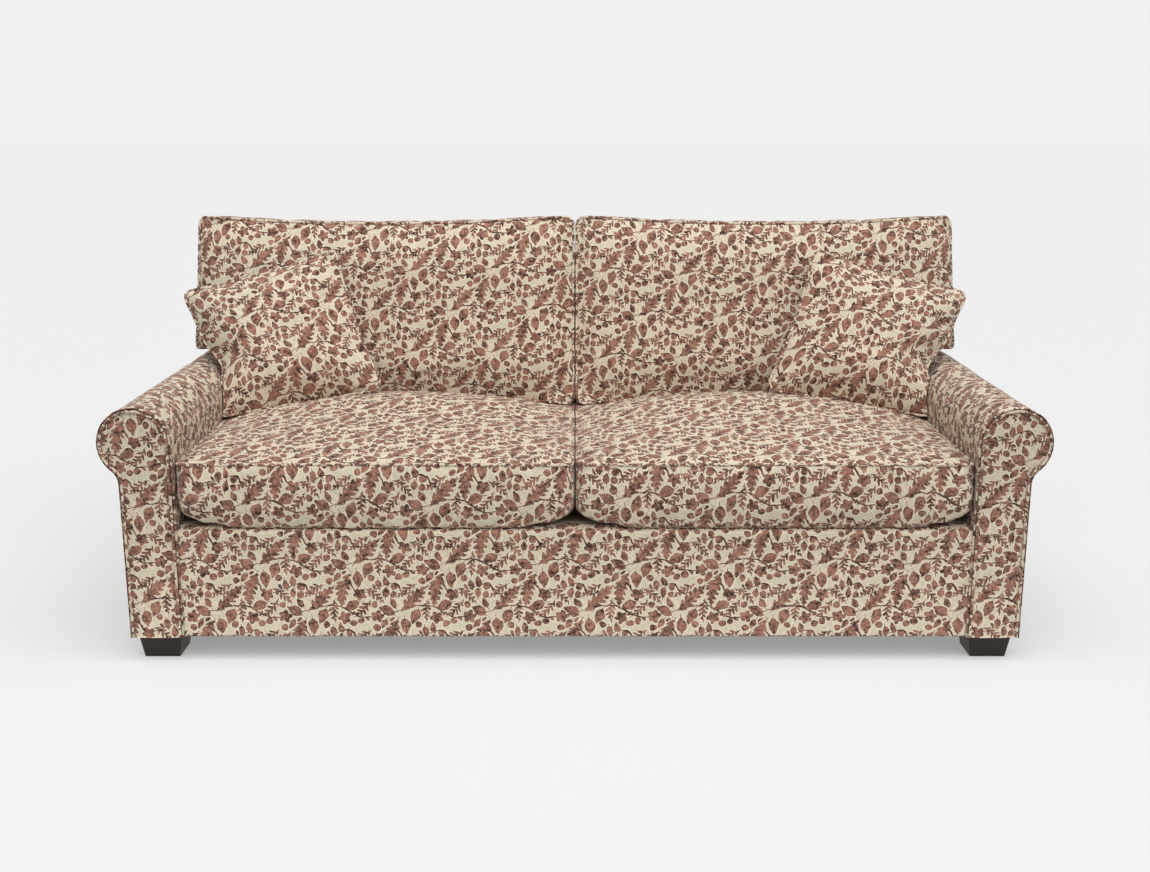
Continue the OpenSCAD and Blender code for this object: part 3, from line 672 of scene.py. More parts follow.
def weave_group():
    """Plain weave: the mean of two noises, each drawn out along one way of the threads, of which
    there are Threads in a metre."""
    tree, given, give = new_group("plain_weave", [("Vector", "v"), ("Threads", "f")], [("Height", "f")])
    weft, warp = (noise_on(tree, mapped(tree, given["Vector"].socket, Scale=drawn), given["Threads"], 2)
                  for drawn in ((1, 0.08, 1), (0.08, 1, 1)))
    give("Height", (weft + warp) * 0.5)
    return tree


def grain_group():
    """Grain of timber: growth rings, Rings of them in a metre, as a wave that noise bends, and fine
    pores twelve times as close."""
    tree, given, give = new_group("timber_grain", [("Vector", "v"), ("Rings", "f")], [("Grain", "f")])
    at, rings = given["Vector"].socket, given["Rings"]
    band = (noise_on(tree, at, rings, 3, 0.4) * 9.0).sin() * 0.5 + 0.5
    give("Grain", band * 0.6 + noise_on(tree, at, rings * 12.0, 4) * 0.4)
    return tree


def streak_group():
    """Fine streaks on metal: noise drawn out along x."""
    tree, given, give = new_group("metal_streaks", [("Vector", "v")], [("Streak", "f")])
    give("Streak", noise_on(tree, mapped(tree, given["Vector"].socket, Scale=(60, 900, 900)), 1, 3))
    return tree


PRINT, WEAVE, GRAIN, STREAKS = print_group(), weave_group(), grain_group(), streak_group()


def effect(tree, group, at, **values):
    """Places a node group in a material, over the coordinates of a socket and with the material's
    own values. Returns its outputs."""
    made = tree.nodes.new("ShaderNodeGroup")
    made.node_tree = group
    tree.links.new(at, made.inputs["Vector"])
    for label, value in values.items():
        made.inputs[label].default_value = value
    return made.outputs


def printed(name, shift):
    """Printed linen, with its print shifted to suit one piece."""
    made, tree, node, where = shader(name, 0.86, 0.2, sheen=0.12)
    design = effect(tree, PRINT, mapped(tree, where.outputs["UV"], Location=(*shift, 0)))
    ground = mix(tree, design["Ground"], colour(181, 172, 149), colour(221, 210, 187))
    ground = mix(tree, design["Edge"], ground, colour(223, 206, 184))
    ink = mix(tree, design["Dark"], colour(158, 111, 93), colour(56, 30, 25))
    tree.links.new(mix(tree, design["Ink"], ground, ink), node.inputs["Base Color"])
    bump(tree, design["Ground"], 0.35, 0.0006, node)
    return made


def plain_cloth(name, low, high, size):
    """Plain woven cloth whose threads are size apart."""
    made, tree, node, where = shader(name, 0.9, 0.15, sheen=0.1)
    height = effect(tree, WEAVE, where.outputs["Object"], Threads=1 / size)["Height"]
    tree.links.new(mix(tree, height, low, high), node.inputs["Base Color"])
    bump(tree, height, 0.4, 0.0005, node)
    return made


def wood(name, low, high, rough, size, along_axis):
    """Timber whose rings are size apart, with its grain drawn out along one axis."""
    made, tree, node, where = shader(name, rough, 0.4)
    drawn = mapped(tree, where.outputs["Object"], Scale=[0.06 if k == along_axis else 1.0 for k in range(3)])
    grain = Value(tree, effect(tree, GRAIN, drawn, Rings=1 / size)["Grain"])
    tree.links.new(mix(tree, grain.socket, low, high), node.inputs["Base Color"])
    tree.links.new((grain * 0.2 + (rough - 0.1)).socket, node.inputs["Roughness"])
    bump(tree, grain.socket, 0.25, 0.0006, node)
    return made


def metal(name, tint, rough):
    """Plated steel: fine streaks in its roughness and tint."""
    made, tree, node, where = shader(name, rough, 0.5, metal=1.0)
    streak = Value(tree, effect(tree, STREAKS, where.outputs["Object"])["Streak"])
    bright = (*(min(1, c * 1.25) for c in tint[:3]), 1)
    tree.links.new(mix(tree, streak.socket, tint, bright), node.inputs["Base Color"])
    tree.links.new((streak * 0.25 + (rough - 0.1)).socket, node.inputs["Roughness"])
    bump(tree, streak.socket, 0.1, 0.0002, node)
    return made


# Each piece of printed linen with its own shift of the print, in metres of cloth
LINEN = {name: printed("linen_" + name, shift) for name, shift in (
    ("arm_left", (0.11, 0.03)),
    ("arm_right", (0.37, 0.21)),
    ("panel", (0.53, 0.44)),
    ("apron", (0.05, 0.62)),
    ("back", (0.71, 0.18)),
    ("seat_left", (0.29, 0.83)),
    ("seat_right", (0.91, 0.37)),
    ("rest_left", (1.13, 0.09)),
    ("rest_right", (1.47, 0.55)),
    ("scatter_left", (1.71, 0.31)),
    ("scatter_right", (1.93, 0.77)),
    ("piping", (2.2, 1.1)),
)}
TIMBER = wood("timber", colour(176, 138, 92), colour(212, 180, 132), 0.6, 0.03, 0)
TIMBER_UP = wood("timber_upright", colour(176, 138, 92), colour(212, 180, 132), 0.6, 0.03, 2)
FOOT = wood("foot_stain", colour(30, 20, 16), colour(58, 40, 31), 0.42, 0.02, 0)
STEEL = metal("plated_steel", colour(170, 170, 174), 0.35)
ZIP_METAL = metal("zip_metal", colour(150, 148, 144), 0.32)
# Lining of the seat deck: its own plain cloth, darkened below the zip tape's colours as painted shade for the gaps
# between the cushions
SHADED_LINING = plain_cloth("lining_painted_shade", colour(150, 138, 118), colour(182, 170, 148), 0.0016)
BLACK = plain_cloth("black_cloth", colour(22, 21, 20), colour(44, 42, 40), 0.002)
TAPE = plain_cloth("zip_tape", colour(176, 166, 142), colour(212, 203, 180), 0.001)
WEB = plain_cloth("webbing", colour(150, 128, 92), colour(196, 176, 138), 0.002)

SIDES = ((-1, "left"), (1, "right"))


# Arms


def arm_outline(pitch=ARM_PITCH):
    """Front view of an arm from the inside bottom, over the roll, to the outside bottom: a line up,
    an arc round the roll, an arc round the cove, and a line down. Returns x, z and inward normals."""
    tie = math.atan2(COVE_Z - ROLL_Z, COVE_X - ROLL_X)
    a = np.linspace(math.pi, tie, 120)
    b = np.linspace(tie + math.pi, math.pi, 30)
    path = np.concatenate([
        [[ARM_IN, BASE_Z]],
        np.stack([ROLL_X + ROLL_R * np.cos(a), ROLL_Z + ROLL_R * np.sin(a)], 1),
        np.stack([COVE_X + COVE_R * np.cos(b), COVE_Z + COVE_R * np.sin(b)], 1),
        [[ARM_OUT, BASE_Z]]])
    path = resample(path, pitch)
    way = np.gradient(path, axis=0)
    way /= np.linalg.norm(way, axis=1)[:, None]
    return path, np.stack([way[:, 1], -way[:, 0]], 1)


def arm_cover(side, name):
    """The arm's cover: its outline carried from front to back. The inset near the front is a quarter
    ellipse. The cloth is a little uneven, with two slack folds inside the arm, each a bell curve
    across a slanting line."""
    path, inward = arm_outline()
    s = along(path)
    lip = np.array([0.004, 0.0008, 0.0, 0.0012, 0.004, 0.008, 0.013, 0.019])
    rear = 0.362
    y = np.concatenate([PANEL_Y + lip, steps(PANEL_Y + 0.028, 0.34, ARM_PITCH), [0.352, rear]])
    d = np.clip((y - PANEL_Y) / 0.016, 0, 1)
    inset = 0.0075 * (1 - np.sqrt(np.clip(1 - (1 - d) ** 2, 0, 1)))
    inset[0] = 0.0085
    n, m = len(s), len(y)
    p = np.zeros((n, m, 3))
    p[..., 0] = path[:, None, 0] + inward[:, None, 0] * inset
    p[..., 2] = path[:, None, 1] + inward[:, None, 1] * inset
    # The rear end leans with the outside back
    tail = outside_y(p[..., 2], COVER_T - 0.001)
    p[..., 1] = y + (tail - rear) * smooth((y - 0.1) / 0.262)
    flat = p.reshape(-1, 3)
    ss, yy = np.repeat(s, m), np.tile(y, n)
    ends = smooth((yy - PANEL_Y - 0.02) / 0.06) * smooth((0.33 - yy) / 0.05)
    hems = smooth((ss - 0.02) / 0.05) * smooth((s[-1] - 0.01 - ss) / 0.05)
    puff = 0.0012 * ripple(flat, 0.23, 11 + side) + 0.0005 * ripple(flat, 0.07, 17 + side)
    inner = smooth((0.50 - ss) / 0.06)
    fold = sum(np.exp(-(((yy + at + slant * (ss - 0.36)) / width) ** 2))
               for at, slant, width in ((0.20, 0.5, 0.022), (0.06, 0.7, 0.026)))
    puff = puff * (1 - inner * 0.4) + 0.0016 * fold * inner
    # Kept flat where the seat cushion slides past
    puff = np.where(ss < 0.46, np.minimum(puff, 0.0002), puff)
    out = -np.stack([inward[:, 0], np.zeros(n), inward[:, 1]], 1)
    flat = flat + np.repeat(out, m, 0) * (puff * ends * hems)[:, None]
    uv = np.stack([np.broadcast_to(y, (n, m)), np.broadcast_to(s[:, None], (n, m))], -1)
    points, faces, corners = weld([(flat.reshape(n, m, 3), uv, None)])
    obj = piece("arm_cover_dressed_" + name, *turned(side, points, faces, corners), LINEN["arm_" + name])
    thicken(obj, ARM_CLOTH)
    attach(obj, "frame")
    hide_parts("arm_cover_" + name)


def half_widths(z):
    """Inner and outer x of an arm's front view at height z: the wall and the roll's circle inside,
    the roll's circle, the cove's circle and the wall outside."""
    up = z - ROLL_Z
    arc = np.sqrt(np.clip(ROLL_R**2 - up**2, 0, None))
    inner = np.where(up > 0, ROLL_X - arc, ARM_IN)
    tie_z = ROLL_Z + (COVE_Z - ROLL_Z) * ROLL_R / (ROLL_R + COVE_R)
    cove = COVE_X - np.sqrt(np.clip(COVE_R**2 - (z - COVE_Z) ** 2, 0, None))
    outer = np.where(z > tie_z, ROLL_X + arc, np.where(z > COVE_Z, cove, ARM_OUT))
    return inner, outer


def arm_panel(side, name):
    """The arm's front panel: rows from its inner to its outer edge, with a rim that turns back under
    the piping. Its pad rises by one minus e to the minus distance from the edge."""
    rim, full = 0.0072, 0.0042
    turn = math.radians(38)
    a = np.linspace(-turn, math.radians(90), 30)[:-1]
    rows = np.concatenate([steps(BASE_Z, ROLL_Z - ROLL_R * math.sin(turn) - 0.004, 0.0105)[:-1],
                           ROLL_Z + (ROLL_R - rim) * np.sin(a), [ROLL_Z + (ROLL_R - rim) * 0.9995]])
    rows = np.sort(rows)
    path, inward = arm_outline(0.002)
    edge = path + inward * rim
    crown = np.argmax(edge[:, 1])
    inner, outer = edge[: crown + 1], edge[crown:]
    outer = outer[np.argsort(outer[:, 1])]
    xa, xb = (np.interp(rows, line[:, 1], line[:, 0]) for line in (inner, outer))
    t = (1 - np.cos(np.linspace(0, math.pi, 15))) / 2
    x = xa[:, None] + (xb - xa)[:, None] * t
    z = np.repeat(rows[:, None], len(t), 1)
    reach = np.minimum(np.minimum(x - xa[:, None], xb[:, None] - x), np.abs(edge[crown, 1] - z))
    rise = full * (1 - np.exp(-np.clip(reach, 0, None) / 0.013))
    front = np.stack([x, PANEL_Y + 0.0005 - rise, z], -1)
    front[..., 1] += 0.0005 * ripple(front.reshape(-1, 3), 0.11, 31 + side).reshape(x.shape) * (rise / full)
    rear = front.copy()
    rear[..., 1] = BOARD_Y
    uv = np.stack([x * side, z], -1)
    band, band_uv = rim_band(front, rear, 0.012)
    points, faces, corners = weld([(swap(front), swap(uv), None), (rear, uv, None), (band, band_uv, None)])
    obj = piece("arm_panel_dressed_" + name, *turned(side, points, faces, corners), LINEN["panel"])
    crease(obj, points[:, 1] > BOARD_Y - 0.001)
    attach(obj, "frame")
    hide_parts("arm_front_panel_" + name)


def arm_cord(side, name):
    """Piping round the front panel: a cord along the arm's outline, 6 mm inside it."""
    path, inward = arm_outline(0.004)
    line = path + inward * 0.006
    line = np.stack([line[:, 0] * side, np.full(len(line), FRONT_Y + 0.0036), line[:, 1]], 1)
    line[0, 2] = line[-1, 2] = BASE_Z + 0.001
    obj = tube("arm_piping_dressed_" + name, line, PIPING_R, LINEN["piping"], closed=False, pitch=0.005)
    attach(obj, "frame")
    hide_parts("arm_piping_" + name)


for side, name in SIDES:
    arm_cover(side, name)
    arm_panel(side, name)
    arm_cord(side, name)


# Front border and back


def arc(cy, cz, r, first, last, n):
    """Points on an arc in y and z, from a first to a last angle in degrees."""
    a = np.radians(np.linspace(first, last, n))
    return np.stack([cy + r * np.cos(a), cz + r * np.sin(a)], 1)


def front_border():
    """The border under the seat: a profile in y and z carried along x. Its cloth moves out along the
    normal as a shallow pad that is drawn to the arms, with slight unevenness."""
    face_y, top = BOARD_Y - 0.009, DECK_Z - FRONT_SAG
    low_r, top_r = 0.0035, 0.006
    profile = np.concatenate([
        [[BOARD_Y - 0.001, BASE_Z + 0.004], [BOARD_Y - 0.001, BASE_Z + 0.0005]],
        arc(face_y + low_r, BASE_Z + low_r, low_r, 270, 180, 4),
        np.stack([np.full(23, face_y), np.linspace(BASE_Z + 0.012, top - 0.009, 23)], 1),
        arc(face_y + top_r, top - top_r, top_r, 180, 90, 5),
        [[face_y + 0.018, DECK_Z - 0.0035], [face_y + 0.032, DECK_Z], [BOARD_Y + 0.036, DECK_Z]]])
    s = along(profile)
    way = np.gradient(profile, axis=0)
    way /= np.linalg.norm(way, axis=1)[:, None]
    half = ARM_IN - 0.0005
    p = swept(profile, steps(-half, half, SEAT_PITCH))
    uv = np.stack([p[..., 0], np.broadcast_to(s, p.shape[:2])], -1)
    end = smooth((ARM_IN - np.abs(p[..., 0])) / 0.02)
    face = smooth((p[..., 2] - BASE_Z - 0.004) / 0.03) * smooth((top - 0.012 - p[..., 2]) / 0.03)
    uneven = 0.0007 * ripple(p.reshape(-1, 3), 0.24, 51) + 0.0003 * ripple(p.reshape(-1, 3), 0.08, 52)
    rise = face * (0.0012 * end + uneven.reshape(face.shape))
    p[..., 1] += rise * way[:, 1]
    p[..., 2] += rise * -way[:, 0]
    points, faces, corners = weld([(p, uv, None)])
    obj = piece("apron_dressed", points, faces, corners, LINEN["apron"])
    thicken(obj, BACK_CLOTH)
    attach(obj, "frame")
    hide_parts("front_apron_cover")


front_border()


def inside_back():
    """Inside back and crest: a profile carried along x, with ears over the arms. An ear's end is
    made of straight lines from the profile to the seam down the outside back, and its underside is
    flat."""
    rise = np.linspace(0.305, 0.785, 42)
    profile = np.concatenate([
        np.stack([inside_y(rise), rise], 1),
        arc(CREST_Y, CREST_Z, CREST_R, 180 - LEAN_DEGREES, -REAR_LEAN_DEGREES, 16)])
    s = along(profile)
    # The row nearest the ears' lower edge is set on that edge
    beyond_crest = np.arange(len(s)) > 45
    low = np.argmin(np.abs(profile[:, 1] - EAR_LOW) + beyond_crest * 9)
    profile[low] = inside_y(EAR_LOW), EAR_LOW
    neck = ARM_IN - 0.0005
    wide = np.concatenate([steps(-EAR_X, -neck, 0.012)[:-1], steps(-neck, neck, BACK_PITCH),
                           steps(neck, EAR_X, 0.012)[1:]])
    p = swept(profile, wide)
    uv = np.stack([p[..., 0], np.broadcast_to(s, p.shape[:2])], -1)
    mid = (wide[:-1] + wide[1:]) / 2
    keep = (np.abs(mid)[:, None] < ARM_IN) | (np.arange(len(s) - 1)[None] >= low)
    panels = [(p, uv, keep)]
    edge = profile[low:]
    share = np.linspace(0, 1, len(edge))
    seam = np.stack([np.interp(share, [0, 1], [outside_y(EAR_LOW), outside_y(CREST_SEAM)]),
                     np.interp(share, [0, 1], [EAR_LOW, CREST_SEAM])], 1)
    t = np.linspace(0, 1, 9)
    grid = (edge[:, None] * (1 - t[:, None]) + seam[:, None] * t[:, None])[::-1]
    for side in (-1, 1):
        cap = np.concatenate([np.full((*grid.shape[:2], 1), side * EAR_X), grid], -1)
        cap_uv = np.stack([grid[..., 0] * side, grid[..., 1]], -1)
        panels.append((swap(cap), swap(cap_uv), None) if side < 0 else (cap, cap_uv, None))
        xs = wide[(np.abs(wide) > ARM_IN - 0.001) & (wide * side > 0)]
        under = np.zeros((len(xs), len(t), 3))
        under[..., 0] = xs[:, None]
        under[..., 1] = inside_y(EAR_LOW) + (outside_y(EAR_LOW) - inside_y(EAR_LOW)) * t
        under[..., 2] = EAR_LOW
        panels.append((under[:, ::-1], under[:, ::-1, :2], None))
    points, faces, corners = weld(panels)
    over_ear = np.abs(points[:, 2] - EAR_LOW)
    to_seam = CREST_SEAM + 0.004 - points[:, 2] + 9 * (points[:, 1] < CREST_Y)
    free = smooth(over_ear / 0.03) * smooth(to_seam / 0.02)
    puff = (0.0009 * ripple(points, 0.2, 61) + 0.0004 * ripple(points, 0.07, 62)) * free
    top = points[:, 2] > CREST_Z - 0.02
    points[:, 2] += np.where(top, puff, 0)
    points[:, 1] -= np.where(top, 0, np.abs(puff) * 0.3)
    obj = piece("back_cover_dressed", points, faces, corners, LINEN["back"])
    ends = np.abs(points[:, 0]) > EAR_X - 1e-4
    crease(obj, ends & (np.abs(points[:, 2] - EAR_LOW) < 1e-4))
    thicken(obj, BACK_CLOTH)
    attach(obj, "frame")
    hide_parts("inside_back_cover")
    for side, name in SIDES:
        line = np.stack([np.full(len(edge), side * (EAR_X - 0.0005)), edge[:, 0], edge[:, 1]], 1)
        cord = tube("back_piping_dressed_" + name, line, EAR_PIPING_R, LINEN["piping"], closed=False)
        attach(cord, "frame")


inside_back()


def back_corner(side, name):
    """The inside back's cloth where it tucks behind an arm's roll: rows from the arm's inner line to
    just inside the roll's circle."""
    z = np.linspace(ROLL_Z - 0.004, EAR_LOW, 9)
    inner, _ = half_widths(np.minimum(z, ROLL_Z + ROLL_R))
    share = np.linspace(0, 1, 8)
    x = (ARM_IN - 0.006) + (inner + 0.016 - ARM_IN)[:, None] * share
    rows = np.repeat(z[:, None], len(share), 1)
    p = np.stack([x, inside_y(rows) + 0.0015, rows], -1)
    uv = np.stack([x * side, rows], -1)
    points, faces, corners = weld([(swap(p), swap(uv), None)])
    obj = piece("back_corner_dressed_" + name, *turned(side, points, faces, corners), LINEN["back"])
    thicken(obj, CORNER_CLOTH)
    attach(obj, "frame")


for side, name in SIDES:
    back_corner(side, name)


def outside_back():
    """Outside back panel: rows across the back and the rear ends of the arms, with a cord along the
    seam. Its rim is rounded as a quarter ellipse."""
    a = np.radians(np.linspace(-30, 61.6, 22))
    ear_from = 0.5804
    rows = np.concatenate([
        steps(BASE_Z, COVE_Z - 0.004, 0.0135), np.linspace(COVE_Z + 0.002, ROLL_Z - ROLL_R * 0.5 - 0.003, 5),
        ROLL_Z + ROLL_R * np.sin(a), steps(EAR_LOW - 0.003, CREST_SEAM, 0.0135)])
    rows = np.unique(np.round(np.sort(rows), 5))
    _, outer = half_widths(rows)
    outer = np.where(rows > ear_from, EAR_X, outer)
    t = np.linspace(-1, 1, 151)
    x = outer[:, None] * t
    z = np.repeat(rows[:, None], len(t), 1)
    reach = np.minimum(np.minimum(outer[:, None] - np.abs(x), z - BASE_Z), CREST_SEAM - z)
    drop = 0.003 * (1 - np.sqrt(np.clip(1 - np.clip(1 - reach / 0.010, 0, 1) ** 2, 0, 1)))
    flat = np.stack([x, x * 0, z], -1).reshape(-1, 3)
    uneven = (0.0008 * ripple(flat, 0.3, 71) + 0.0003 * ripple(flat, 0.09, 72)).reshape(x.shape)
    rear = np.stack([x, outside_y(z) - drop - 0.0006 + uneven * smooth(reach / 0.05), z], -1)
    near = np.stack([x, outside_y(z) - COVER_T + 0.002, z], -1)
    uv = np.stack([-x, z], -1)
    band, band_uv = rim_band(rear, near, 0.01)
    points, faces, corners = weld([(rear, uv, None), (swap(near), swap(uv), None),
                                   (band[::-1], band_uv[::-1], None)])
    obj = piece("outside_back_dressed", points, faces, corners, LINEN["back"], 0)
    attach(obj, "frame")
    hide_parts("outside_back_cover")
    edge = np.stack([outer, outside_y(rows) - 0.005, rows], 1)
    top_x = steps(-EAR_X, EAR_X, 0.02)[::-1]
    top = np.stack([top_x, np.full_like(top_x, outside_y(CREST_SEAM) - 0.005),
                    np.full_like(top_x, CREST_SEAM + 0.001)], 1)
    line = np.concatenate([edge, top[1:-1], (edge * (-1, 1, 1))[::-1]])
    cord = tube("outside_back_piping_dressed", line, PIPING_R, LINEN["piping"], closed=False)
    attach(cord, "frame")


outside_back()


def cloth_slab(name, low, high, sag, material, node, notch=None):
    """A flat cloth with a little thickness that sags between its edges as a shallow bowl: one minus p
    to the fourth, times one minus q to the fourth. Notch says which quads stay."""
    xs, ys = steps(low[0], high[0], 0.02), steps(low[1], high[1], 0.02)
    x, y = np.meshgrid(xs, ys, indexing="ij")
    p = (2 * x - low[0] - high[0]) / (high[0] - low[0])
    q = (2 * y - low[1] - high[1]) / (high[1] - low[1])
    flat = np.stack([x, y, x * 0], -1)
    dip = sag * (1 - p**4) * (1 - q**4)
    dip += 0.25 * sag * ripple(flat.reshape(-1, 3), 0.2, 81).reshape(x.shape) * (1 - p**4) * (1 - q**4)
    keep = None if notch is None else notch((x[:-1, :-1] + x[1:, 1:]) / 2, (y[:-1, :-1] + y[1:, 1:]) / 2)
    points, faces, corners = weld([(np.stack([x, y, high[2] - dip], -1), flat[..., :2], keep)])
    obj = piece(name, points, faces, corners, material, 0)
    thicken(obj, high[2] - low[2])
    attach(obj, "frame")
    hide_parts(node)
    return obj


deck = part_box("seat_deck")
# The deck's lining is partly its own colour and partly painted shade, darkened to stand in for the shadow in the seat
# gaps
cloth_slab("seat_deck_dressed", deck[0], deck[1], 0.0025, SHADED_LINING, "seat_deck")
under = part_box("dust_cover")
feet = [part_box(n) for n in ("foot_front_left", "foot_front_right", "foot_rear_left", "foot_rear_right")]


def off_feet(x, y):
    """True away from the feet, where the dust cover's quads stay."""
    clear, gap = np.ones(x.shape, bool), 0.008
    for a, b in feet:
        clear &= ~((x > a[0] - gap) & (x < b[0] + gap) & (y > a[1] - gap) & (y < b[1] + gap))
    return clear


dust_cover = cloth_slab("dust_cover_dressed", (under[0][0], under[0][1], under[1][2] - 0.001), under[1], 0.0015, BLACK,
                        "dust_cover", off_feet)


# Cushions


def box_panels(xs, ys, zs):
    """Six faces of a box as panels, all outward. The cloth's v runs on from the top over each edge."""
    top = zs[-1]
    return [
        flat_panel(xs, ys, (0, 1), top, lambda g: g[..., :2]),
        flat_panel(ys, xs, (1, 0), zs[0], lambda g: g[..., :2] * (1, -1)),
        flat_panel(xs, zs, (0, 2), ys[0], lambda g: np.stack([g[..., 0], g[..., 2] - top + ys[0]], -1)),
        flat_panel(zs, xs, (2, 0), ys[-1], lambda g: np.stack([-g[..., 0], g[..., 2]], -1)),
        flat_panel(ys, zs, (1, 2), xs[-1], lambda g: np.stack([g[..., 1], g[..., 2] - top], -1)),
        flat_panel(zs, ys, (2, 1), xs[0], lambda g: np.stack([-g[..., 1], g[..., 2] - top], -1)),
    ]


def seat_rise(p, q):
    """The source's crown: one minus p squared, times one minus q squared, that to the power 1.2."""
    return SEAT_CROWN * (1 - p * p) * np.clip(1 - q * q, 0, None) ** 1.2


def seat_cushion(side, name):
    """Boxed seat cushion. A box's points are rounded at the corners, rolled under along the lower
    edge and crowned, then the cover is blown up and kept off its neighbours."""
    hx, hy = (ARM_IN - 2 * SIDE_GAP) / 2, (SEAT_REAR - SEAT_FRONT) / 2
    mid = np.array([ARM_IN / 2, (SEAT_FRONT + SEAT_REAR) / 2, SEAT_FLOOR])
    zip_z = SEAT_BORDER / 2
    zs = np.unique(np.round(np.concatenate([
        [0, 0.006, 0.013, 0.021, 0.030, 0.040, 0.050],
        zip_z + np.array([-0.0165, -0.0128, -0.004, 0.004, 0.0128, 0.0165]),
        [0.098, 0.108, 0.118, 0.127, 0.134, 0.140, SEAT_BORDER]]), 5))
    base, faces, corners = weld(box_panels(steps(-hx, hx, SEAT_PITCH), steps(-hy, hy, SEAT_PITCH), zs))
    x, y, z = base.T.copy()
    on_top, on_rear = z > SEAT_BORDER - TINY, y > hy - TINY
    # Upright corners, rounder below
    r = 0.026 + 0.026 * (1 - smooth(z / 0.085))
    a, b = np.clip((np.abs(x) - hx + r) / r, 0, 1), np.clip((np.abs(y) - hy + r) / r, 0, 1)
    ra, rb = disc(a, b)
    both = (a > 0) & (b > 0)
    px = np.where(both, np.sign(x) * (hx - r + r * ra), x)
    py = np.where(both, np.sign(y) * (hy - r + r * rb), y)
    # Lower edges rolled under: wide and high are the half axes of the roll's quarter ellipse
    front = smooth((-y - hy + 0.16) / 0.16)
    end = smooth((np.abs(x) - hx + 0.16) / 0.14)
    facing = (hy + y) < (hx - np.abs(x))
    wide = np.where(facing, SEAT_TUCK * (1 - front) + (0.014 + 0.050 * end) * front, SEAT_TUCK + 0.026 * front)
    high = np.where(facing, SEAT_TUCK * (1 - front) + (0.015 + 0.033 * end) * front, SEAT_TUCK + 0.010 * front)
    d = np.minimum(hx - np.abs(x), hy - np.abs(y))
    a, b = np.clip(1 - d / wide, 0, 1), np.clip(1 - z / high, 0, 1)
    ra, rb = disc(a, b)
    both = (a > 0) & (b > 0)
    shift = np.where(both, wide * (1 - ra) - d, 0)
    pz = np.where(both, high * (1 - rb), z)
    px, py = px * (1 - shift / hx), py * (1 - shift / hy)
    # The front bulges, the top is crowned, the rear has a groove for the zip, the ends are hollow
    up = pz / SEAT_BORDER
    py = py - smooth((-y - hy + 0.12) / 0.12) * (0.009 + 0.006 * np.sin(math.pi * up) + 0.005 * (1 - up))
    p, q = x / hx, y / hy
    rise = seat_rise(p, q)
    pz = pz + np.where(on_top, rise * 0.9, 0)
    groove = on_rear & (np.abs(z - zip_z) < 0.0135) & (np.abs(x) < 0.359)
    py = py - np.where(groove, ZIP_DEPTH + 0.001, 0)
    hollow = 0.0015 * np.sin(math.pi * (q + 1) / 2) * (np.abs(p) > 1 - 1e-6)
    px = px - np.sign(px) * hollow
    points = np.stack([px, py, pz], 1) + mid
    corners = corners + (mid[0], 0) if side > 0 else corners * (-1, 1) - (mid[0], 0)
    obj = piece("seat_cushion_dressed_" + name, *turned(side, points, faces, corners), LINEN["seat_" + name])
    seam = on_top & ((np.abs(np.abs(x) - hx) < TINY) | (np.abs(np.abs(y) - hy) < TINY))
    crease(obj, seam)
    bottom = pz < 0.004
    pins = np.maximum(np.where(seam, 0.9, 0.0), np.where(bottom | on_rear, 1, 0))
    blown = blow(obj, pins, growth=0.022, pressure=4.0, cap=0.013) * (side, 1, 1)
    uneven = 0.0016 * ripple(points, 0.26, 101 + side) + 0.0006 * ripple(points, 0.09, 103 + side)
    blown[:, 2] += np.where(on_top & ~seam, uneven * smooth(rise / 0.012), 0)
    fine = np.where(on_top | bottom | on_rear, 0, 0.0008 * ripple(points, 0.05, 105 + side))
    blown[:, 1] -= fine * (y < 0)
    # Pressed up in front of the back cushion
    heap = 0.026 * smooth((points[:, 1] + 0.22) / 0.24) * smooth((0.125 - points[:, 1]) / 0.05) * (1 - p * p) ** 0.7
    blown[:, 2] += np.where(on_top, heap, 0)
    # Hangs a little over the front border, which its weight presses down
    hang = FRONT_SAG * smooth((-0.452 - blown[:, 1]) / 0.02)
    blown[:, 2] -= hang * np.clip(1 - z / 0.08, 0, 1)
    # Kept off the deck, the arms, the other seat and what lies on it
    slack = 0.007 * smooth((-0.10 - points[:, 1]) / 0.12)
    border_top = mid[2] + SEAT_BORDER
    blown[:, 2] = np.minimum(blown[:, 2], np.where(on_top, border_top + rise + slack + heap, border_top))
    blown[:, 2] = np.maximum(blown[:, 2], mid[2] - hang)
    blown[:, 0] = np.clip(blown[:, 0], SIDE_GAP * 0.6, ARM_IN - 0.0024)
    blown[:, 1] = np.where(on_rear, points[:, 1], np.clip(blown[:, 1], SEAT_LIP, SEAT_REAR))
    moved(obj, blown * (side, 1, 1))
    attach(obj, "seat_cushion_" + name)
    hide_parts("seat_cushion_cover_" + name, "seat_foam_core_" + name)
    ring = np.flatnonzero(seam)
    ring = ring[np.argsort(np.arctan2(y[ring] / hy, x[ring] / hx))]
    line = blown[ring] * (side, 1, 1)
    line[:, 0] = np.clip(np.abs(line[:, 0]), SIDE_GAP + 0.0030, ARM_IN - SIDE_GAP - 0.0046) * side
    line[:, 1] = np.clip(line[:, 1], SEAT_CORD_LIP, SEAT_REAR - 0.003)
    cord = tube("seat_piping_dressed_" + name, line, CUSHION_PIPING_R, LINEN["piping"])
    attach(cord, "seat_cushion_" + name)


for side, name in SIDES:
    seat_cushion(side, name)


def back_place(x, v, depth):
    """The source's place for a point of a back cushion: its panel in x and v, its depth measured
    from the inside back, and its top sloping down to the rear."""
    up = np.clip((v - BACK_FLOOR) / (BACK_TOP - BACK_FLOOR), 0, 1)
    z = v - BACK_T * math.sin(LEAN) * up**3 * np.clip(1 - depth / BACK_T, 0, None)
    return np.stack([x, inside_y(z) - (0.0004 + depth) / math.cos(LEAN), z], -1)


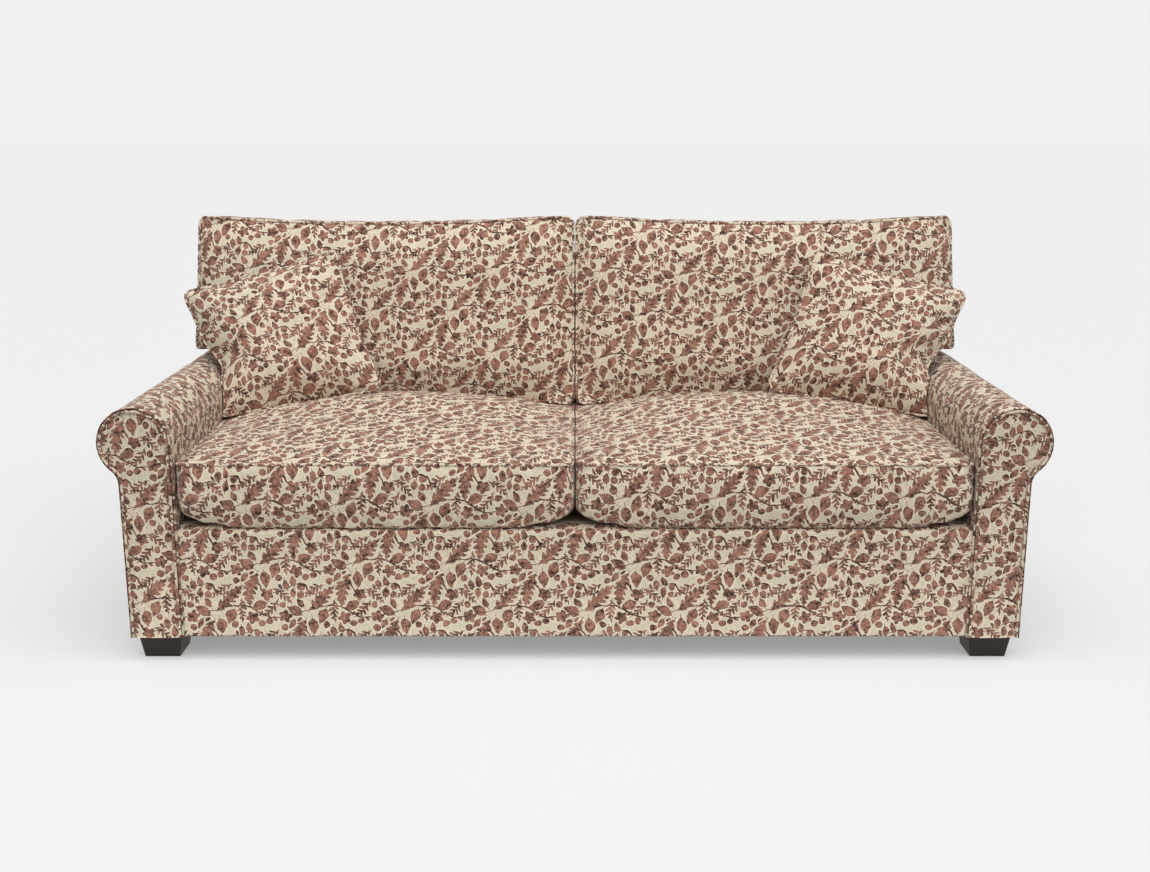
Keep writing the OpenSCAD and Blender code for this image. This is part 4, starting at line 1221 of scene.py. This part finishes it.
def back_cushion(side, name):
    """T-shaped boxed back cushion: two panels with an ear and a border between them. Its edges bow as
    parabolas, and its front is crowned by a soap film's height to the power 0.62."""
    neck = ARM_IN - SIDE_GAP
    x_main, x_ear = steps(SIDE_GAP, neck, BACK_PITCH), steps(neck, CUSHION_EAR_X, BACK_PITCH)
    v_main, v_ear = steps(BACK_FLOOR, EAR_Z, BACK_PITCH), steps(EAR_Z, BACK_TOP, BACK_PITCH)
    xs, vs = np.concatenate([x_main, x_ear[1:]]), np.concatenate([v_main, v_ear[1:]])
    ys = -np.array([0, 0.006, 0.014, 0.026, 0.040, 0.055, 0.070, 0.085, 0.100, 0.115, 0.130, 0.145, 0.160,
                    0.173, 0.184, 0.191, BACK_T])[::-1]
    whole = (np.arange(len(xs) - 1)[:, None] < len(x_main) - 1) | (np.arange(len(vs) - 1)[None] >= len(v_main) - 1)
    front_uv = lambda g: g[..., [0, 2]]
    rear_uv = lambda g: g[..., [0, 2]] * (-1, 1)
    end_uv = lambda g: np.stack([g[..., 1] + 1.3, g[..., 2]], -1)
    under_uv = lambda g: np.stack([g[..., 0], -g[..., 1]], -1)
    base, faces, corners = weld([
        flat_panel(xs, vs, (0, 2), -BACK_T, front_uv, whole),
        flat_panel(vs, xs, (2, 0), 0.0, rear_uv, whole.T),
        flat_panel(xs, ys, (0, 1), BACK_TOP, lambda g: np.stack([g[..., 0], g[..., 1] + BACK_T + BACK_TOP], -1)),
        flat_panel(ys, x_main, (1, 0), BACK_FLOOR, under_uv),
        flat_panel(vs, ys, (2, 1), SIDE_GAP, lambda g: np.stack([-g[..., 1], g[..., 2]], -1)),
        flat_panel(ys, v_ear, (1, 2), CUSHION_EAR_X, end_uv),
        flat_panel(ys, v_main, (1, 2), neck, end_uv),
        flat_panel(ys, x_ear, (1, 0), EAR_Z, under_uv),
    ])
    x, y, v = base.T.copy()
    depth = -y
    on_front, on_rear, on_floor = depth > BACK_T - TINY, depth < TINY, v < BACK_FLOOR + TINY
    on_neck = (np.abs(x - neck) < TINY) & (v < EAR_Z + TINY)
    under_ear = (np.abs(v - EAR_Z) < TINY) & (x > neck - TINY)
    wall = (x < SIDE_GAP + TINY) | (x > CUSHION_EAR_X - TINY) | (v > BACK_TOP - TINY) | on_floor | on_neck | under_ear
    seam = wall & (on_front | on_rear)
    inside = np.zeros((len(xs), len(vs)), bool)
    inside[1:-1, 1:-1] = True
    inside[len(x_main) - 1:, : len(v_main)] = False
    height = film(inside)[np.searchsorted(xs, x - 1e-6), np.searchsorted(vs, v - 1e-6)]
    # Rounded corners: place, the way into the cushion, radius
    px, pv = x.copy(), v.copy()
    for cx, cv, sx, sv, r in ((SIDE_GAP, BACK_TOP, 1, -1, 0.030), (CUSHION_EAR_X, BACK_TOP, -1, -1, 0.034),
                              (CUSHION_EAR_X, EAR_Z, -1, 1, 0.018), (SIDE_GAP, BACK_FLOOR, 1, 1, 0.030),
                              (neck, BACK_FLOOR, -1, 1, 0.030)):
        a, b = 1 - (x - cx) * sx / r, 1 - (v - cv) * sv / r
        near = (a > 0) & (b > 0) & (a <= 1.0001) & (b <= 1.0001)
        ra, rb = disc(np.clip(a, 0, 1), np.clip(b, 0, 1))
        px = np.where(near, cx + sx * r * (1 - ra), px)
        pv = np.where(near, cv + sv * r * (1 - rb), pv)
    # Bowed edges: the top sinks, the bottom rises, the inner end is hollow, the ear's end leans in
    t = np.clip((x - SIDE_GAP) / (CUSHION_EAR_X - SIDE_GAP), 0, 1)
    pv = pv - 0.019 * 4 * t * (1 - t) * smooth((v - EAR_Z) / (BACK_TOP - EAR_Z))
    t = np.clip((x - SIDE_GAP) / (neck - SIDE_GAP), 0, 1)
    pv = pv + BACK_ARC * 4 * t * (1 - t) * (1 - smooth((v - BACK_FLOOR) / 0.2))
    t = np.clip((v - BACK_FLOOR) / (BACK_TOP - BACK_FLOOR), 0, 1)
    px = px + 0.003 * 4 * t * (1 - t) * (1 - smooth((x - SIDE_GAP) / 0.2))
    t = np.clip((v - EAR_Z) / (BACK_TOP - EAR_Z), 0, 1)
    px = px - (0.005 * 4 * t * (1 - t) + 0.011 * t) * smooth((x - neck) / (CUSHION_EAR_X - neck)) * (v > EAR_Z - 1e-6)
    rim = CUSHION_EAR_X - 0.012 - 0.010 * t
    full = depth + np.where(on_front, BACK_CROWN * 0.72 * height**0.62, 0)
    zip_v = BACK_FLOOR + 0.075
    groove = on_rear & (np.abs(v - zip_v) < 0.0155) & (np.abs(x - ARM_IN / 2) < 0.318)
    points = back_place(px, pv, np.where(groove, ZIP_DEPTH + 0.0015, full))
    corners = corners if side > 0 else corners * (-1, 1)
    obj = piece("back_cushion_dressed_" + name, *turned(side, points, faces, corners), LINEN["rest_" + name])
    crease(obj, seam)
    pins = np.maximum(np.where(seam, 0.85, 0.0), np.where(on_rear | on_floor, 1, 0))
    blown = blow(obj, pins, growth=0.028, pressure=4.0, cap=0.020) * (side, 1, 1)
    uneven = 0.0022 * ripple(points, 0.3, 121 + side) + 0.0007 * ripple(points, 0.1, 123 + side)
    blown[:, 1] -= uneven * np.where(on_front & ~seam, smooth(height / 0.35), 0)
    # Kept off the scatter cushion, the other back cushion, the arms and the inside back
    fore = inside_y(blown[:, 2]) - (0.0002 + BACK_T + BACK_CROWN) / math.cos(LEAN)
    blown[:, 1] = np.maximum(blown[:, 1], fore)
    blown[:, 0] = np.maximum(blown[:, 0], SIDE_GAP * 0.6)
    blown[:, 0] = np.where(pv < ARM_CLEAR_Z, np.minimum(blown[:, 0], ARM_IN - 0.0011), blown[:, 0])
    past = blown[:, 0] - rim
    blown[:, 0] = np.where(past > 0, rim + 0.25 * past, blown[:, 0])
    in_ear = (x > neck - TINY) & (v > EAR_Z - TINY)
    blown[:, 2] = np.where(in_ear, np.maximum(blown[:, 2], EAR_Z - 0.001), blown[:, 2])
    blown[:, 1] = np.where(on_rear, points[:, 1], np.minimum(blown[:, 1], inside_y(blown[:, 2]) - 0.0004))
    moved(obj, blown * (side, 1, 1))
    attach(obj, "back_cushion_" + name)
    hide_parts("back_cushion_cover_" + name, "back_fibre_core_" + name)
    # Length round the outline, from the lower inner corner: bottom, neck, under the ear, the ear's
    # end, top, inner end
    turns = np.cumsum([neck - SIDE_GAP, EAR_Z - BACK_FLOOR, CUSHION_EAR_X - neck, BACK_TOP - EAR_Z,
                       CUSHION_EAR_X - SIDE_GAP])
    run = np.select(
        [on_floor, on_neck & (v < EAR_Z - TINY), under_ear, x > CUSHION_EAR_X - TINY, v > BACK_TOP - TINY],
        [x - SIDE_GAP, turns[0] + v - BACK_FLOOR, turns[1] + x - neck, turns[2] + v - EAR_Z,
         turns[3] + CUSHION_EAR_X - x], turns[4] + BACK_TOP - v)
    for label, chosen, lift in (("front", seam & on_front, 0.0), ("rear", seam & on_rear, 0.003)):
        ring = np.flatnonzero(chosen)
        line = blown[ring[np.argsort(run[ring])]].copy()
        line[:, 0] = np.maximum(line[:, 0], SIDE_GAP + 0.003)
        beside = line[:, 2] < ARM_CLEAR_Z
        line[:, 0] = np.where(beside, np.minimum(line[:, 0], ARM_IN - SIDE_GAP - 0.003), line[:, 0])
        line[:, 1] -= lift
        t = np.clip((line[:, 0] - SIDE_GAP) / (neck - SIDE_GAP), 0, 1)
        low_z = BACK_FLOOR + 0.002 + BACK_ARC * 4 * t * (1 - t)
        line[:, 2] = np.maximum(line[:, 2], low_z + 0.0015)
        cord = tube("back_cushion_piping_" + label + "_dressed_" + name, line * (side, 1, 1), CUSHION_PIPING_R,
                    LINEN["piping"])
        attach(cord, "back_cushion_" + name)


for side, name in SIDES:
    back_cushion(side, name)


def scatter_cushion(side, name):
    """Knife-edged scatter cushion: two square panels, sides drawn in between drawn-out corners, blown
    up in its own frame and set down leaning."""
    hx, hy, half = SCATTER_SIZE[0] / 2, SCATTER_SIZE[1] / 2, SCATTER_SIZE[2] / 2
    count = 41
    u = np.linspace(-1, 1, count)
    g = np.stack([*np.meshgrid(u, u, indexing="ij"), np.zeros((count, count))], -1)
    front, rear = g.copy(), g.copy()
    inner = np.zeros((count, count), bool)
    inner[1:-1, 1:-1] = True
    front[..., 2], rear[..., 2] = inner * 1.0, inner * -1.0
    uv = g[..., :2] * (hx, hy)
    rear_uv = swap(uv * (-1, 1)) + (0.9, 0)
    base, faces, corners = weld([(front, uv, None), (swap(rear), rear_uv, None)])
    a, b, face = base.T
    on_front, on_rear, seam = face > 0.5, face < -0.5, np.abs(face) < 0.5
    mid = (count - 1) // 2
    puff = film(inner)[np.round((a + 1) * mid).astype(int), np.round((b + 1) * mid).astype(int)]
    corner = (a * b) ** 2
    tip = np.clip(np.abs(a) + np.abs(b) - 1.82, 0, None) / 0.18
    # Sides drawn in: most where the arm presses, hardly beside the seat, with small rounded ears at
    # the corners
    pressed = 0.10 + 0.17 * np.exp(-(((b + 0.33) / 0.36) ** 2))
    x = hx * a * (1 - np.where(a > 0, pressed, 0.07) * (1 - b * b) - 0.05 * tip**2)
    y = hy * b * (1 - np.where(b > 0, 0.085, 0.012) * (1 - a * a) - 0.05 * tip**2)
    wavy = 0.004 * ripple(np.stack([x, y, x * 0], 1), 0.18, 131 + side)
    z = face * half * 0.93 * puff**0.60 + np.where(seam, wavy * (1 - corner), 0)
    points = np.stack([x, y, z], 1)
    corners = corners if side > 0 else corners * (-1, 1)
    obj = piece("scatter_cushion_dressed_" + name, *turned(side, points, faces, corners), LINEN["scatter_" + name])
    crease(obj, seam)
    pins = np.where(seam, np.where(corner > 0.7, 1, 0.75), 0.0)
    blown = blow(obj, pins, growth=0.035, pressure=3.5, cap=0.016) * (side, 1, 1)
    # A valley from the upper inner corner down, where the filling has slipped: a bell curve across a
    # slanting line
    line = (blown[:, 0] + hx * 0.80) - 0.10 * (hy - blown[:, 1])
    valley = np.exp(-((line / 0.018) ** 2)) * smooth((blown[:, 1] + 0.06) / 0.12) * smooth((hy - blown[:, 1]) / 0.04)
    blown[:, 2] -= np.where(on_front, 0.015 * valley, 0)
    blown[:, 2] += np.where(on_front, 0.0015 * ripple(points, 0.12, 141 + side) * smooth(puff / 0.3), 0)
    # No thicker than the source's lens behind, nor than its half thickness and a little in front
    s = np.maximum(np.abs(blown[:, 0]) / hx, np.abs(blown[:, 1]) / hy)
    lens = half * np.clip(1 - np.clip(s, 0, 1) ** 2, 0, None) ** 0.62
    blown[:, 2] = np.where(on_rear, np.maximum(blown[:, 2], -lens), blown[:, 2])
    blown[:, 2] = np.clip(blown[:, 2], -half, half + 0.004)

    def placed(p):
        """Carried to its place: its plane is the even blend of its four corners' places, its
        thickness is along the blend's normal, and what meets the arm's roll or wall is pushed off."""
        q, r = ((p[:, 0] / hx + 1) / 2)[:, None], ((p[:, 1] / hy + 1) / 2)[:, None]
        lo_in, lo_out, up_in, up_out = (np.array(c) for c in SCATTER_CORNERS)
        at = (lo_in * (1 - q) + lo_out * q) * (1 - r) + (up_in * (1 - q) + up_out * q) * r
        du = (lo_out - lo_in) * (1 - r) + (up_out - up_in) * r
        dv = (up_in - lo_in) * (1 - q) + (up_out - lo_out) * q
        normal = np.cross(du, dv)
        normal /= np.linalg.norm(normal, axis=1)[:, None]
        at = at + normal * p[:, 2:3]
        away = np.hypot(at[:, 0] - ROLL_X, at[:, 2] - ROLL_Z)
        push = np.maximum(ROLL_R + 0.005 - away, 0) / np.maximum(away, 1e-6)
        at[:, 0] += (at[:, 0] - ROLL_X) * push
        at[:, 2] += (at[:, 2] - ROLL_Z) * push
        at[:, 0] = np.where(at[:, 2] < ROLL_Z, np.minimum(at[:, 0], ARM_IN - 0.003), at[:, 0])
        behind = inside_y(at[:, 2]) - (BACK_T + BACK_CROWN + 0.0045) / math.cos(LEAN)
        at[:, 1] = np.minimum(at[:, 1], behind)
        return at * (side, 1, 1)

    moved(obj, placed(blown))
    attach(obj, "scatter_cushion_" + name)
    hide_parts("scatter_cover_" + name, "scatter_pad_" + name)
    ring = np.flatnonzero(seam)
    ring = ring[np.argsort(np.arctan2(b[ring], a[ring]))]
    cord = tube("scatter_piping_dressed_" + name, placed(blown[ring]), PIPING_R, LINEN["piping"])
    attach(cord, "scatter_cushion_" + name)


for side, name in SIDES:
    scatter_cushion(side, name)


# Finishes of the nodes that stay

UPRIGHT = ("arm_scroll_board", "arm_rear_board", "back_post", "back_centre_post", "corner_blocks")
for node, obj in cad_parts.items():
    if node.startswith("foot_front") or node.startswith("foot_rear"):
        material = FOOT
        eased = obj.modifiers.new("eased edges", "BEVEL")
        eased.width = 0.0022
        eased.segments = 3
    elif node in ("foot_bolts", "foot_tee_nuts", "seat_springs", "spring_clips"):
        material = STEEL
    elif "zip_pull" in node:
        material = ZIP_METAL
    elif "zip" in node:
        material = TAPE
    elif node == "back_webbing":
        material = WEB
    elif node.startswith(UPRIGHT):
        material = TIMBER_UP
    else:
        material = TIMBER
    for slot in obj.material_slots:
        slot.material = material

# Floor, backdrop and light

# The backdrop and the floor as the camera sees them, and the floor's grey as it lights the sofa
BACKDROP, FLOOR_SEEN, FLOOR_GREY = (240, 240, 240), (229, 229, 229), 0.28
# Share of plain backdrop in the floor's look, and strength of the world's light
GLOW, DAYLIGHT = 0.35, 0.45


def plainly_seen(tree):
    """1 for rays from the camera and for what metal or glass shows, 0 for light on its way."""
    path = tree.nodes.new("ShaderNodeLightPath")
    camera_ray, glossy, through = (Value(tree, path.outputs[label])
                                   for label in ("Is Camera Ray", "Is Glossy Ray", "Is Transmission Ray"))
    return camera_ray.most(glossy).most(through)


def plain_glow(tree, kind):
    """The backdrop's colour at strength 1, from a node of the kind that the tree takes."""
    made = tree.nodes.new(kind)
    made.inputs["Color"].default_value = colour(*BACKDROP)
    made.inputs["Strength"].default_value = 1
    return made.outputs[0]


def blended(tree, share, a, b, out):
    """Joins a mix of two shaders to the output node: a where share is 0 and b where it is 1."""
    made = tree.nodes.new("ShaderNodeMixShader")
    for socket, target in zip((share, a, b), made.inputs):
        tree.links.new(socket, target)
    tree.links.new(made.outputs[0], tree.nodes[out].inputs["Surface"])


def ground():
    """A pale floor that runs on as the backdrop: a disc 120 m across."""
    a = np.linspace(0, 2 * math.pi, 97)[:-1]
    mesh = bpy.data.meshes.new("floor")
    rim = np.stack([60 * np.cos(a), 60 * np.sin(a), a * 0], 1)
    mesh.from_pydata(rim.tolist(), [], [list(range(len(a)))])
    obj = bpy.data.objects.new("floor", mesh)
    scene.collection.objects.link(obj)
    made, tree, node, _ = shader("floor", 0.95, 0.0)
    seen = plainly_seen(tree)
    # Paler to the camera than to the light it throws back at the sofa
    pale = mix(tree, seen.socket, (FLOOR_GREY, FLOOR_GREY, FLOOR_GREY, 1), colour(*FLOOR_SEEN))
    tree.links.new(pale, node.inputs["Base Color"])
    glow = plain_glow(tree, "ShaderNodeEmission")
    blended(tree, (seen * GLOW).socket, node.outputs[0], glow, "Material Output")
    mesh.materials.append(made)


ground()


def sun(name, place, strength, spread):
    """A far, soft lamp that shines from place towards the origin; spread is its width in degrees."""
    data = bpy.data.lights.new(name, "SUN")
    data.energy = strength
    data.angle = math.radians(spread)
    obj = bpy.data.objects.new(name, data)
    obj.location = place
    obj.rotation_mode = "QUATERNION"
    obj.rotation_quaternion = (-Vector(place)).to_track_quat("-Z", "Y")
    scene.collection.objects.link(obj)


sun("key", (-1.0, -2.2, 4.4), 1.06, 40)
sun("over", (1.2, -1.7, 2.6), 1.4, 60)


def panel_lamp(name, place, size, power, tilt):
    """A soft oblong lamp, out of the camera's sight. It shines down at tilt 0, at the back above that,
    and up at tilt 180."""
    data = bpy.data.lights.new(name, "AREA")
    data.shape = "RECTANGLE"
    data.size, data.size_y = size
    data.energy = power
    obj = bpy.data.objects.new(name, data)
    obj.location = place
    obj.rotation_euler = (math.radians(tilt), 0, 0)
    obj.visible_camera = obj.visible_glossy = obj.visible_transmission = False
    scene.collection.objects.link(obj)


# On the floor, for the front from below, and over the seat, for the back and the arms' insides
panel_lamp("strip", (0, -0.74, 0.003), (2.7, 0.4), 3.0, 180)
panel_lamp("seat_lamp", (0, -0.62, 2.1), (1.8, 0.3), 6.0, 25)

world = bpy.data.worlds.new("studio")
scene.world = world
world.use_nodes = True
sky = world.node_tree.nodes["Background"]
sky.inputs["Color"].default_value = (1, 1, 1, 1)
sky.inputs["Strength"].default_value = DAYLIGHT
plain = plain_glow(world.node_tree, "ShaderNodeBackground")
blended(world.node_tree, plainly_seen(world.node_tree).socket, sky.outputs[0], plain, "World Output")
scene.view_settings.view_transform = "Standard"
